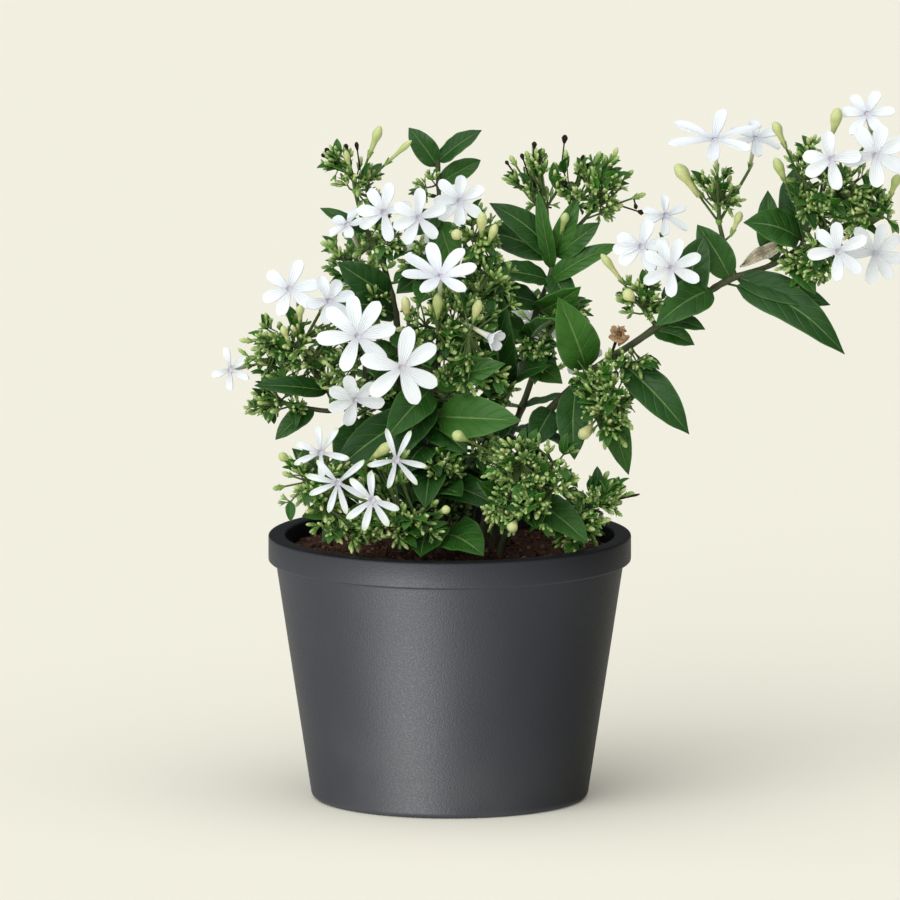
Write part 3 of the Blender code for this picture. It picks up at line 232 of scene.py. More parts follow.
# Each bloom: its spray, its centre, the way it faces (azimuth from the front towards +X, elevation),
# its radius, its petals' half width, how far they lift, and the petals' directions round the throat.
BLOOMS = [
    ("spray_upper_left", (-27, -16, 247), (-10, 8), 12.0, 2.6, 0.05, (79, 125, 178, -147, -77, 15)),
    ("spray_upper_left", (-13, -25, 246), (5, 10), 12.0, 2.6, 0.05, (85, 20, -48, -117, 150, 200)),
    ("spray_crown", (4, -12, 251), (5, 15), 11.5, 2.5, 0.05, (134, 85, 28, -37, -90, -140, 180)),
    ("spray_middle", (-4, -37, 223), (0, 52), 16.5, 3.0, 0.36, (106, 52, 3, -50, -118, 192, 155)),
    ("spray_upper_left", (-42, -8, 240), (-34, 52), 9.0, 2.3, 0.12, (90, 18, -54, -126, 162)),
    ("spray_left_front", (-38, -46, 200), (-4, 8), 16.5, 3.2, 0.04, (185, 138, 98, 58, 12, -42, -111)),
    ("spray_left_front", (-20, -59, 189), (4, 2), 17.0, 3.4, 0.04, (78, 32, -27, -67, -137, 167)),
    ("spray_left_mid", (-66, -24, 216), (-12, 20), 12.5, 2.7, 0.06, (145, 72, 12, -35, -105, -155)),
    ("spray_left_mid", (-50, -31, 212), (14, 25), 11.0, 2.6, 0.1, (105, 58, 12, -42, -105, 190)),
    ("spray_left_front", (-39, -40, 173), (4, -18), 12.0, 2.8, 0.08, (155, 108, 42, -10, -157, -105)),
    ("spray_left_mid", (-90, -14, 181), (-32, 2), 9.5, 1.7, 0.1, (105, 37, -17, -92, -160)),
    ("spray_low_left", (-53, -44, 151), (-10, 18), 12.0, 1.5, 0.06, (100, 58, -12, -84, -154, 160)),
    ("spray_low_left", (-46, -59, 141), (-4, 4), 13.5, 1.4, 0.03, (134, -157, -107, -74, -28, 40, 168)),
    ("spray_low_left", (-32, -67, 135), (4, 12), 12.5, 1.6, 0.03, (92, 135, -144, -106, -58, -20)),
    ("spray_front", (-22, -56, 150), (4, 6), 13.0, 1.3, 0.03, (108, 63, -13, -50, -106, -169)),
    ("spray_middle", (16, -34, 198), (55, -20), 7.5, 2.3, 0.9, (90, 18, -54, -126, 162)),
    ("spray_right_mid", (79, -25, 234), (-8, 12), 11.5, 2.8, 0.06, (74, 157, 188, -140, -62, 8)),
    ("spray_right_mid", (89, -9, 244), (8, 42), 10.5, 1.9, 0.06, (88, 26, -40, -98, -162, 160)),
    ("spray_right_mid", (91, -37, 227), (4, 6), 13.0, 2.6, 0.05, (72, 22, -25, -90, -152, 150, 112)),
    ("spray_right_upper", (109, -25, 278), (-10, 66), 20.0, 2.8, 0.15, (88, 28, -28, -82, 203, 150)),
    ("spray_right_upper", (126, -8, 276), (16, 58), 12.0, 2.5, 0.05, (80, 20, -40, -100, -160, 140)),
    ("spray_right_tip", (157, -35, 272), (-4, 10), 12.5, 2.9, 0.04, (100, 175, -146, -78, 7)),
    ("spray_right_tip", (175, -31, 273), (4, 8), 14.0, 3.2, 0.08, (75, 122, 190, -86, -26, 26)),
    ("spray_right_tip", (172, -13, 287), (-10, 40), 11.5, 2.5, 0.08, (129, 72, 8, -52, -118, 176)),
    ("spray_right_tip", (160, -37, 234), (-4, 4), 12.5, 2.7, 0.04, (95, 137, 188, -92, -44, 26)),
    ("spray_right_tip", (175, -23, 231), (14, 4), 13.0, 2.6, 0.05, (126, 72, 30, -16, -58, -100, 176)),
    ("spray_back_left", (-8, 74, 214), (170, 20), 13.0, 2.8, 0.05, (90, 30, -30, -90, -150, 150)),
    ("spray_back_left", (-36, 76, 196), (200, 12), 14.0, 2.9, 0.05, (100, 40, -22, -80, -140, 160)),
    ("spray_back_right", (36, 84, 186), (172, 10), 14.0, 3.0, 0.05, (80, 22, -36, -98, -150, 144)),
    ("spray_back_right", (54, 78, 174), (140, 14), 12.5, 2.7, 0.05, (92, 20, -50, -122, 164)),
]
GREEN_TIPPED = (12, 13, 14, 15)  # the blooms with narrow petals that are green at their ends

# Large buds: spray, centre, half width, length, and the fork they stand on where that isn't the hub.
LARGE_BUDS = [
    ("spray_middle", (-18, -33, 210), 2.0, 10, (-17, -29, 198)),
    ("spray_middle", (-5, -35, 211), 2.2, 11, (-5, -31, 199)),
    ("spray_middle", (11, -35, 209), 2.1, 10, (8, -31, 198)), ("spray_low_right", (4, -46, 158), 2.5, 7),
    ("spray_right_low", (56, -27, 157), 2.6, 8), ("spray_low_right", (26, -54, 122), 2.4, 6),
    ("spray_right_mid", (74, -29, 214), 2.6, 8), ("spray_front", (-2, -56, 129), 1.9, 6),
    ("spray_right_upper", (98, -14, 260), 3.0, 17), ("spray_right_tip", (136, -14, 279), 2.2, 12),
    ("spray_right_tip", (136, -21, 265.5), 2.2, 11, (141, -19, 253)),
    ("spray_right_tip", (159, -15, 285), 2.6, 11),
    ("spray_right_tip", (183, -21, 258.5), 2.1, 11, (178, -19, 245)),
    ("spray_top_left", (-31, 0, 274), 2.1, 14),
    ("spray_top_left", (-21, -3, 270), 1.4, 15), ("spray_left_mid", (-57, -35, 208), 1.9, 13),
    ("spray_right_mid", (67, -20, 224), 1.8, 16), ("spray_crown", (3, -20, 238), 2.4, 7),
    ("spray_low_left", (-28, -46, 152), 2.4, 12), ("spray_low_left", (-68, -33, 147), 2.0, 6),
    ("spray_centre_top", (47, -6, 241), 1.9, 11),
]

# Large buds on stalks of their own: spray, foot, base of the bud, its tip and its half width.
SIDE_BUDS = [
    ("spray_right_upper", (113, -12, 234), (116, -14, 237), (120, -16, 247), 1.8),
    ("spray_crown", (9, -10, 234), (13, -16, 237), (13.5, -18, 247), 2.3),
    ("spray_crown", (9, -10, 234), (16, -16, 234), (19, -18, 242), 1.9),
    ("spray_top_left", (-38, 0, 256), (-41, -4, 262), (-43, -6, 271), 1.4),
    ("spray_left_mid", (-62, -18, 190), (-66, -24, 193), (-69, -27, 201), 1.6),
]

# Leaves placed one by one: cane, where they leave it, tip, half width, and the way the upper side faces.
LEAVES = [
    ("cane_crown", (-5, 3, 265), (13, -1, 279), 4.5, (10, 45)),
    ("cane_crown", (-5, 3, 263), (-17, 5, 279), 5.0, (-20, 25)),
    ("cane_crown", (-4, 3, 256), (13, 11, 265), 4.5, (10, 30)),
    ("cane_crown", (-4, 4, 240), (5, -13, 221), 6.5, (5, 15)),
    ("cane_centre", (43, 2, 226), (16, -8, 243), 7.0, (-8, 30)),
    ("cane_centre", (37, 4, 206), (11, -14, 214), 6.0, (-5, 35)),
    ("cane_centre", (41, 2, 216), (15, -12, 222), 6.0, (-5, 45)),
    ("cane_centre", (41, 2, 215), (70, -5, 232), 4.5, (5, 30)),
    ("cane_centre", (36, 4, 202), (54, -14, 215), 6.0, (25, 5)),
    ("cane_centre", (42, 2, 220), (36, -6, 254), 3.5, (-15, 10)),
    ("cane_centre", (44, 2, 226), (63, -4, 247), 5.0, (10, 15)),
    ("cane_centre", (22, 9, 163), (20, -18, 216), 8.0, (-6, 12)),
    ("cane_centre", (25, 8, 170), (40, -20, 184), 5.0, (10, 30)),
    ("cane_right", (57, -9, 178), (45, -28, 213), 9.0, (6, 10)),
    ("cane_right", (52, -8, 173), (51, -30, 148), 7.0, (-5, 10)),
    ("cane_right", (60, -10, 180), (76, -27, 141), 6.5, (10, 15)),
    ("cane_right", (68, -11, 186), (99, -24, 156), 8.0, (12, 20)),
    ("cane_right", (110, -12, 215), (85, -33, 203), 8.0, (-8, 22)),
    ("cane_right", (116, -12, 218), (102, -11, 241), 6.5, (-6, 5)),
    ("cane_right", (113, -12, 217), (163, -26, 190), 8.0, (6, 25)),
    ("cane_right", (146, -12, 234), (122, -27, 245), 8.5, (-6, 35)),
    ("cane_right", (134, -12, 225), (131, -9, 255), 5.5, (-10, 5)),
    ("cane_right", (90, -12, 201), (105, -25, 200), 4.0, (10, 35)),
    ("cane_right", (138, -12, 228), (151, -25, 214), 4.5, (10, 30)),
    ("cane_right", (146, -12, 234), (142, 6, 262), 7.0, (-10, 15)),
    ("cane_upper_left", (-34, 2, 236), (-53, -2, 246), 3.0, (-20, 40)),
    ("cane_upper_left", (-24, -3, 210), (-46, -10, 225), 7.0, (-10, 20)),
    ("cane_upper_left", (-22, -3, 202), (-44, -18, 209), 6.5, (-10, 30)),
    ("cane_middle", (-7, -17, 174), (-26, -45, 158), 8.0, (-6, 20)),
    ("cane_middle", (-8, -17, 165), (-46, -42, 141), 8.5, (-10, 20)),
    ("cane_middle", (-8, -16, 150), (-17, -47, 152), 8.0, (-5, 40)),
    ("cane_middle", (-7, -17, 176), (22, -35, 187), 6.5, (8, 25)),
    ("cane_middle", (-8, -18, 162), (29, -40, 164), 9.5, (6, 22)),
    ("cane_middle", (-7, -26, 116), (-12, -55, 110), 10.0, (-8, 40)),
    ("cane_middle", (-6, -24, 114), (14, -55, 110), 10.0, (8, 40)),
    ("cane_middle", (-6, -14, 128), (5, -47, 134), 8.0, (4, 40)),
    ("cane_mid_left", (-50, -14, 172), (-80, -27, 177), 4.5, (-15, 30)),
    ("cane_mid_left", (-56, -15, 165), (-72, -22, 153), 4.5, (-15, 25)),
    ("cane_mid_left", (-39, -30, 127), (-61, -34, 123), 5.5, (-15, 35)),
    ("cane_mid_left", (-42, -32, 130), (-66, -34, 152), 4.5, (-20, 25)),
    ("cane_mid_left", (-36, -28, 124), (-53, -37, 113), 6.0, (-20, 40)),
    ("cane_low_right", (33, -26, 129), (57, -42, 113), 7.5, (15, 35)),
    ("cane_low_right", (28, -21, 121), (12, -47, 139), 8.0, (-5, 30)),
    ("cane_low_right", (30, -23, 125), (36, -52, 118), 7.0, (5, 40)),
    ("cane_middle", (-7, -16, 142), (-10, -46, 121), 7.9, (-4, 35)),
    ("cane_middle", (-8, -17, 158), (8, -34, 147), 7.5, (6, 30)),
    ("cane_middle", (-8, -17, 168), (-22, -40, 148), 7.5, (-8, 25)),
    ("cane_middle", (-8, -16, 134), (20, -34, 128), 7.0, (6, 30)),
    ("cane_mid_left", (-38, -14, 158), (-45, -32, 142), 7.5, (-10, 25)),
    ("cane_mid_left", (-32, -14, 145), (-44, -30, 128), 7.0, (-10, 30)),
    ("cane_centre", (41, 2, 219), (49, -10, 209), 6.0, (10, 20)),
    ("cane_centre", (29, 6, 182), (45, -10, 177), 6.5, (5, 25)),
    ("cane_centre", (33, 5, 193), (17, -12, 195), 7.0, (-5, 25)),
    ("cane_centre", (20, 11, 155), (20, -14, 152), 7.0, (5, 35)),
    ("cane_crown", (-5, 7, 212), (18, -8, 206), 6.5, (5, 25)),
    ("cane_crown", (-5, 8, 190), (14, -8, 182), 7.0, (5, 25)),
    ("cane_crown", (-5, 6, 222), (-22, -8, 212), 6.5, (-8, 25)),
    ("cane_crown", (-4, 4, 243), (-19, -4, 236), 5.5, (-8, 25)),
    ("cane_crown", (-6, 10, 150), (6, -6, 140), 7.0, (5, 30)),
    ("cane_upper_left", (-21, -2, 176), (-34, -14, 184), 7.0, (-10, 20)),
    ("cane_upper_left", (-22, -3, 195), (-12, -20, 188), 6.5, (5, 20)),
    ("cane_right", (98, -12, 207), (103, -22, 236), 7.9, (-5, 20)),
    ("cane_right", (24, 1, 133), (38, -14, 122), 7.0, (8, 30)),
    ("cane_right", (42, -5, 163), (34, -22, 150), 6.5, (5, 25)),
]

# Leaves that only the finer model carries, in the same order of values.
FINER_LEAVES = [
    ("cane_centre", (44, 2, 226), (62, -5, 241), 5.0, (10, 25)),
    ("cane_centre", (45, 2, 230), (53, -4, 251), 4.5, (5, 15)),
    ("cane_centre", (43, 2, 228), (17, -4, 249), 6.0, (-8, 30)),
    ("cane_upper_left", (-20, -1, 165), (-38, -8, 170), 5.5, (-10, 25)),
    ("cane_crown", (-5, 8, 172), (-22, -2, 178), 5.5, (-8, 25)),
    ("cane_crown", (-6, 11, 138), (-20, 0, 127), 6.0, (-8, 30)),
    ("cane_right", (118, -12, 219), (157, -19, 209), 6.0, (6, 25)),
    ("cane_right", (84, -12, 197), (101, -18, 192), 4.5, (10, 30)),
]

# Leaves that bend sideways more than the others: their number and the bow as a share of their length.
BOWED_LEAVES = {19: -0.07}

# Opposite pairs that fill the rest of each cane: heights, first pair's azimuth, length and half width.
PAIRS = {
    "cane_right": ((150,), 60, 30, 7.0),
    "cane_centre": ((128, 150, 188), 20, 32, 7.5),
    "cane_crown": ((132, 160, 186, 212), 80, 32, 7.5),
    "cane_middle": ((140,), 10, 28, 7.0),
    "cane_upper_left": ((128, 156, 182), 40, 30, 7.0),
    "cane_mid_left": ((126,), 70, 28, 6.5),
    "cane_back_left": ((118, 138, 158, 178), 30, 34, 7.9),
    "cane_back_right": ((118, 136, 154), 110, 34, 7.9),
}

# What has died back: black bud tips by their foot, tip, half width and length, then a spent bloom by its
# foot, centre and radius and the way it faces, and a dry leaf by its foot, tip and half width.
DEAD_TIPS = [
    ((46, 2, 262), (47.6, -1, 277), 1.4, 4.2), ((34, 2, 262), (35, 0, 274), 1.2, 3.4),
    ((33, 2, 258), (29.5, 0, 269), 1.1, 3.2), ((27, 1, 260), (23, 0, 266), 0.9, 2.6),
    ((38, 3, 250), (33.5, 0, 258), 1.3, 4.2), ((50, 2, 252), (46.5, -3, 258), 1.5, 4.6),
    ((52, 2, 256), (55.2, 0, 268.5), 1.1, 5.0), ((54, 2, 258), (57.2, 0, 265), 0.9, 3.4),
    ((70, 2, 247), (80, -3, 244.5), 1.3, 3.0), ((42, 2, 246), (37, 0, 247), 1.0, 3.4),
    ((-43, 0, 262), (-51.5, -2, 271.5), 1.2, 3.4), ((-41, 0, 264), (-43, -3, 273.5), 1.1, 3.2),
    ((66, -28, 128), (78.6, -30, 131.5), 0.6, 6.0), ((76, 1, 250), (77, -2, 246), 1.0, 3.0),
    ((-44, 0, 262), (-50, -2, 267.5), 1.2, 3.0), ((-45, 0, 264), (-47.5, -1, 272), 1.0, 2.8),
    ((-37, 0, 262), (-38.6, -1, 274), 1.1, 4.0), ((-43, 0, 261), (-53, -1, 269), 1.0, 2.6),
]
SPENT_BLOOM = ((66, -13, 185), (69.5, -20, 196.5), 5.0)
SPENT_FACING = (0.5, -0.8, 0.3)
DRY_LEAF = ((137, -12, 232), (120, -17, 225), 5.5)

# The crowds of small buds round each spray: centre, radii and number of buds.
CROWDS = {
    "spray_right_tip": [((160, -17, 252), (21, 10, 14), 240), ((152, -20, 227), (9, 7, 10), 70),
                        ((148, -14, 264), (8, 7, 11), 80), ((172, -18, 247), (13, 8, 9), 110),
                        ((143, -17, 223), (7, 6, 8), 40)],
    "spray_right_upper": [((111, -13, 254), (9, 7, 11), 60)],
    "spray_right_mid": [((80, -20, 211), (9, 8, 11), 80)],
    "spray_right_low": [((65, -22, 168), (12, 8, 15), 150)],
    "spray_centre_top": [((36, 2, 256), (11, 9, 12), 80), ((58, 2, 254), (16, 9, 14), 150)],
    "spray_crown": [((12, -10, 234), (10, 7, 13), 110)],
    "spray_middle": [((-1, -25, 202), (21, 9, 14), 230), ((8, -28, 182), (14, 8, 11), 110),
                     ((20, -15, 214), (14, 8, 11), 90)],
    "spray_upper_left": [((-29, -10, 233), (8, 6, 9), 60)],
    "spray_top_left": [((-46, 0, 266), (6, 5, 5), 25), ((-40, 0, 258), (5, 5, 7), 25),
                       ((-36, 2, 254), (6, 5, 6), 35)],
    "spray_left_mid": [((-66, -15, 188), (19, 10, 17), 220), ((-48, -22, 198), (10, 7, 10), 60)],
    "spray_left_low": [((-72, -17, 168), (11, 8, 7), 75)],
    "spray_left_front": [((-43, -24, 181), (9, 6, 8), 50)],
    "spray_low_left": [((-55, -40, 136), (16, 9, 12), 170), ((-42, -47, 121), (14, 7, 8), 90)],
    "spray_front": [((-22, -49, 122), (20, 8, 8), 150), ((-26, -42, 138), (12, 7, 10), 70)],
    "spray_low_right": [((34, -42, 142), (19, 10, 17), 270), ((28, -47, 126), (15, 7, 9), 110)],
    "spray_rim_right": [((63, -31, 129), (9, 7, 6), 80), ((52, -31, 119), (11, 7, 10), 110)],
    "spray_back_left": [((-38, 60, 214), (15, 10, 11), 90)],
    "spray_back_right": [((44, 68, 192), (14, 10, 11), 90)],
}

# Side shoots with buds that grow straight from the canes, in the same order of values.
SHOOTS = {
    "cane_centre": [((35, -6, 190), (10, 7, 11), 80), ((46, -8, 206), (8, 6, 8), 50),
                    ((16, -6, 134), (11, 8, 11), 80), ((19, -6, 170), (6, 5, 7), 30)],
    "cane_crown": [((14, -8, 210), (12, 8, 10), 80), ((-12, -8, 226), (8, 7, 9), 50),
                   ((4, -2, 122), (13, 9, 10), 90), ((-8, 0, 254), (4, 4, 5), 20)],
    "cane_upper_left": [((-34, -9, 208), (9, 6, 9), 60)],
    "cane_right": [((74, -16, 186), (9, 6, 6), 40), ((60, -16, 176), (8, 6, 6), 30)],
    "cane_middle": [((-4, -30, 140), (10, 8, 10), 50), ((12, -28, 152), (10, 7, 9), 50),
                    ((-10, -13, 180), (7, 5, 6), 30), ((3, -14, 170), (6, 5, 6), 25),
                    ((-16, -18, 126), (8, 6, 7), 45)],
    "cane_mid_left": [((-31, -10, 167), (10, 6, 9), 70), ((-50, -14, 182), (8, 5, 5), 40),
                      ((-39, -11, 187), (7, 5, 7), 40)],
}


def mm(point):
    """A point given in millimetres, in metres."""
    return Vector(point) * MM


def facing(azimuth, elevation):
    """Right, up and outward directions of something that faces this way."""
    a, e = math.radians(azimuth), math.radians(elevation)
    right = Vector((math.cos(a), math.sin(a), 0))
    up = Vector((-math.sin(a) * math.sin(e), math.cos(a) * math.sin(e), math.cos(e)))
    out = Vector((math.sin(a) * math.cos(e), -math.cos(a) * math.cos(e), math.sin(e)))
    return right, up, out


def placed(origin, x, y, z):
    """The matrix that puts local axes x, y and z at origin."""
    return Matrix.Translation(origin) @ Matrix((x, y, z)).transposed().to_4x4()


def along(direction, origin):
    """The matrix whose Z runs along direction from origin."""
    return Matrix.Translation(origin) @ direction.to_track_quat("Z", "Y").to_matrix().to_4x4()


def leaf_place(root, reach, face):
    """The matrix of a leaf at its root: Y runs along reach, and the upper side turns to face."""
    side = reach.cross(face).normalized()
    return placed(root, side, reach, side.cross(reach))


def any_way(draw):
    """A direction drawn at random."""
    return Vector([draw.gauss(0, 1) for _ in range(3)]).normalized()


def nearest(points, target):
    """The point of a polyline that lies nearest to target."""
    best = None
    for a, b in zip(points, points[1:]):
        span = b - a
        share = min(1.0, max(0.0, (target - a).dot(span) / span.length_squared))
        point = a + span * share
        if best is None or (point - target).length < (best - target).length:
            best = point
    return best


def corner_tree(node):
    """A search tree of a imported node's corners."""
    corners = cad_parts[node].data.vertices
    tree = KDTree(len(corners))
    for corner in corners:
        tree.insert(corner.co, corner.index)
    tree.balance()
    return tree


def fitted(tree, choices):
    """Of (place, probes, note) choices, the one where the node has a corner nearest to every probe."""
    def miss(choice):
        place, probes, _note = choice
        return sum(tree.find(place @ probe)[2] for probe in probes) / len(probes)
    best = min(choices, key=miss)
    return best if miss(best) < FIT_LIMIT * MM else None


def face_tree(names):
    """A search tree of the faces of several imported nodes."""
    points, faces = [], []
    for name in names:
        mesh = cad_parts[name].data
        faces += [[v + len(points) for v in face.vertices] for face in mesh.polygons]
        points += [v.co.copy() for v in mesh.vertices]
    return BVHTree.FromPolygons(points, faces)


def select_only(*things):
    """Selects these pieces and makes the first one active."""
    bpy.ops.object.select_all(action="DESELECT")
    for thing in things:
        thing.select_set(True)
    bpy.context.view_layer.objects.active = things[0]


def linked(name, data):
    """A new object in the scene."""
    thing = bpy.data.objects.new(name, data)
    bpy.context.scene.collection.objects.link(thing)
    return thing


def welded(thing, outward=False):
    """Merges the points of a piece that meet, and turns its faces outward if asked."""
    select_only(thing)
    bpy.ops.object.mode_set(mode="EDIT")
    bpy.ops.mesh.select_all(action="SELECT")
    bpy.ops.mesh.remove_doubles(threshold=WELD)
    if outward:
        bpy.ops.mesh.normals_make_consistent(inside=False)
    bpy.ops.object.mode_set(mode="OBJECT")


def smoothed(thing, degrees=SHARP):
    """Shades a piece smooth, except at edges sharper than this."""
    select_only(thing)
    bpy.ops.object.shade_smooth_by_angle(angle=math.radians(degrees))


def dressed(thing, finish):
    """Gives a piece this one material."""
    thing.data.materials.clear()
    thing.data.materials.append(finish)


def use_modifier(thing, name, kind, **settings):
    """Adds a modifier to a piece and applies it."""
    select_only(thing)
    step = thing.modifiers.new(name, kind)
    for key, value in settings.items():
        setattr(step, key, value)
    bpy.ops.object.modifier_apply(modifier=step.name)


def joined(name, *things):
    """Joins the pieces into the first one and names it."""
    select_only(*things)
    if len(things) > 1:
        bpy.ops.object.join()
    whole = bpy.context.view_layer.objects.active
    whole.name = whole.data.name = name
    return whole


def hand_over(piece, node=None):
    """Declares a finished piece to the frame."""
    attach(piece, BODY)
    if node:
        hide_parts(node)


def lathe(profile, steps):
    """A solid of revolution, extruded ring by ring from its (radius, height) points."""
    (radius, height), *rest = profile
    bpy.ops.object.select_all(action="DESELECT")
    bpy.ops.mesh.primitive_circle_add(vertices=steps, radius=radius, location=(0, 0, height))
    shape = bpy.context.object
    bpy.ops.object.transform_apply(location=True)
    bpy.ops.object.mode_set(mode="EDIT")
    bpy.ops.mesh.select_all(action="SELECT")
    for next_radius, next_height in rest:
        bpy.ops.mesh.extrude_region_move(TRANSFORM_OT_translate={"value": (0, 0, next_height - height)})
        grow = next_radius / radius
        bpy.ops.transform.resize(value=(grow, grow, 1), center_override=(0, 0, 0))
        radius, height = next_radius, next_height
    bpy.ops.mesh.select_all(action="SELECT")
    bpy.ops.mesh.fill_holes(sides=0)
    bpy.ops.mesh.select_all(action="SELECT")
    bpy.ops.mesh.normals_make_consistent(inside=False)
    bpy.ops.object.mode_set(mode="OBJECT")
    return shape


class Pattern:
    """Points, faces and UVs of a shape that is modelled once and copied many times."""

    def __init__(self, shape):
        mesh = shape.data
        self.points = np.array([v.co for v in mesh.vertices])
        self.faces = [list(face.vertices) for face in mesh.polygons]
        layer = mesh.uv_layers.active
        self.uvs = np.zeros((len(mesh.loops), 2))
        if layer:
            self.uvs = np.array([corner.uv for corner in layer.data])
        bpy.data.objects.remove(shape)
        bpy.data.meshes.remove(mesh)


class Growth:
    """Copies of patterns gathered for one mesh, with the values that the materials read at each point."""

    def __init__(self):
        self.points = []
        self.faces = []
        self.uvs = []
        self.tone = []
        self.along = []
        self.count = 0

    def add(self, pattern, points, tone, shares=None):
        """A copy of a pattern with its own points in metres, a tone, and its share from root to tip."""
        self.points.append(points)
        self.faces += [[v + self.count for v in face] for face in pattern.faces]
        self.uvs.append(pattern.uvs)
        self.tone.append(np.full(len(points), tone))
        self.along.append(np.zeros(len(points)) if shares is None else shares)
        self.count += len(points)

    def stand(self, pattern, place, size, lift, tone, start=0.0, rise=0.0):
        """A copy of this size, lifted along its axis. Its share goes from start by rise to its tip."""
        points = pattern.points * size + [0, 0, lift]
        self.add(pattern, moved(points, place), tone, start + rise * pattern.points[:, 2])

    def build(self, name, finishes):
        """One object of all the copies."""
        mesh = bpy.data.meshes.new(name)
        mesh.from_pydata(np.concatenate(self.points).tolist(), [], self.faces)
        mesh.uv_layers.new(name="UVMap").data.foreach_set("uv", np.concatenate(self.uvs).ravel())
        for key, values in (("tone", self.tone), ("along", self.along)):
            mesh.attributes.new(key, "FLOAT", "POINT").data.foreach_set("value", np.concatenate(values))
        for finish in finishes:
            mesh.materials.append(finish)
        return linked(name, mesh)


def moved(points, matrix):
    """Points in millimetres, brought to their place in metres."""
    m = np.array(matrix)
    return points * MM @ m[:3, :3].T + m[:3, 3]


def blades(name, growth, thickness, finishes):
    """Gives flat blades their thickness. The upper side has the first finish, the rest the second."""
    thing = growth.build(name, finishes)
    welded(thing)
    under = len(finishes) - 1
    use_modifier(thing, "Thickness", "SOLIDIFY", thickness=thickness, offset=-1.0, use_even_offset=False,
                 material_offset=under, material_offset_rim=under)
    smoothed(thing)
    return thing


class Strands:
    """Thin round stems gathered as splines of one curve."""

    def __init__(self, sides):
        self.curve = bpy.data.curves.new("strands", "CURVE")
        self.curve.dimensions = "3D"
        self.curve.bevel_depth = MM
        self.curve.bevel_resolution = (sides - 4) // 2
        self.curve.use_fill_caps = True

    def add(self, route, radii):
        """A stem along a route in metres, with its radius in millimetres at each point."""
        spline = self.curve.splines.new("POLY")
        spline.points.add(len(route) - 1)
        for point, place, radius in zip(spline.points, route, radii):
            point.co = (*place, 1)
            point.radius = radius
        spline.use_smooth = True

    def build(self, name, finish):
        """One mesh of all the stems."""
        self.curve.materials.append(finish)
        select_only(linked(name, self.curve))
        bpy.ops.object.convert(target="MESH")
        thing = bpy.context.object
        welded(thing, outward=True)
        smoothed(thing)
        return thing


def even(first, last, count):
    """Values that go evenly from first to last."""
    return [first + (last - first) * k / (count - 1) for k in range(count)]


def softened(points, steps):
    """A smooth route through the points, with this many steps between each two."""
    route = []
    ends = [points[0] * 2 - points[1], *points, points[-1] * 2 - points[-2]]
    for a, b, c, d in zip(ends, ends[1:], ends[2:], ends[3:]):
        for k in range(steps):
            t = k / steps
            route.append(((b * 2) + (c - a) * t + (a * 2 - b * 5 + c * 4 - d) * t * t
                          + (b * 3 - a - c * 3 + d) * t ** 3) * 0.5)
    return [*route, points[-1]]


def add_node(tree, kind, inputs=None, **settings):
    """Adds a shader node with its settings, and gives its inputs their values or links."""
    node = tree.nodes.new("ShaderNode" + kind)
    for key, value in settings.items():
        setattr(node, key, value)
    for key, value in (inputs or {}).items():
        if isinstance(value, bpy.types.NodeSocket):
            tree.links.new(value, node.inputs[key])
        else:
            node.inputs[key].default_value = value
    return node


def maths(tree, operation, *values):
    return add_node(tree, "Math", dict(enumerate(values)), operation=operation).outputs[0]


def times(tree, value, factor):
    return maths(tree, "MULTIPLY", value, factor)


def plus(tree, first, second):
    return maths(tree, "ADD", first, second)


def cloud(tree, place, scale, detail):
    """A noise value between 0 and 1."""
    return add_node(tree, "TexNoise", {"Vector": place, "Scale": scale, "Detail": detail}).outputs[0]


def coordinates(tree, kind):
    """The X, Y and Z of the object's own coordinates or of its UV map."""
    return add_node(tree, "SeparateXYZ", {0: add_node(tree, "TexCoord").outputs[kind]}).outputs


def ease(tree, value, low, high, first=0.0, last=1.0):
    """A smooth change from first to last while value goes from low to high."""
    return add_node(tree, "MapRange", {0: value, 1: low, 2: high, 3: first, 4: last},
                    interpolation_type="SMOOTHSTEP").outputs[0]


def mixed(tree, share, first, second):
    """The first colour, with this share of the second."""
    return add_node(tree, "Mix", {0: share, 6: first, 7: second}, data_type="RGBA").outputs[2]


def tinted(colour, share):
    """A colour from the settings, darker or lighter by this share."""
    return (*(share * c for c in tuple(colour)[:3]), 1.0)


def attribute(tree, name):
    return add_node(tree, "Attribute", attribute_name=name).outputs["Fac"]


def ramp(tree, value, stops):
    """A colour ramp of (position, colour) stops."""
    node = add_node(tree, "ValToRGB", {0: value})
    band = node.color_ramp
    while len(band.elements) < len(stops):
        band.elements.new(0.5)
    for element, (position, colour) in zip(band.elements, stops):
        element.position = position
        element.color = colour
    return node.outputs[0]


def new_group(name, inputs, outputs):
    """An empty node group with number sockets, and its input and output nodes."""
    group = bpy.data.node_groups.new(name, "ShaderNodeTree")
    for label, default in inputs.items():
        socket = group.interface.new_socket(label, in_out="INPUT", socket_type="NodeSocketFloat")
        socket.default_value = default
    for label in outputs:
        group.interface.new_socket(label, in_out="OUTPUT", socket_type="NodeSocketFloat")
    return group, group.nodes.new("NodeGroupInput").outputs, group.nodes.new("NodeGroupOutput").inputs


def mottle_group():
    """Uneven patches at two sizes, and a fine grain."""
    group, given, result = new_group("Mottle", {"Size": 100.0, "Grain": 900.0}, ("Patches", "Fine"))
    place = add_node(group, "TexCoord").outputs["Object"]
    broad = cloud(group, place, given["Size"], 3.0)
    small = cloud(group, place, given["Grain"], 2.0)
    group.links.new(ease(group, broad, 0.32, 0.68), result["Patches"])
    group.links.new(ease(group, small, 0.3, 0.7), result["Fine"])
    return group


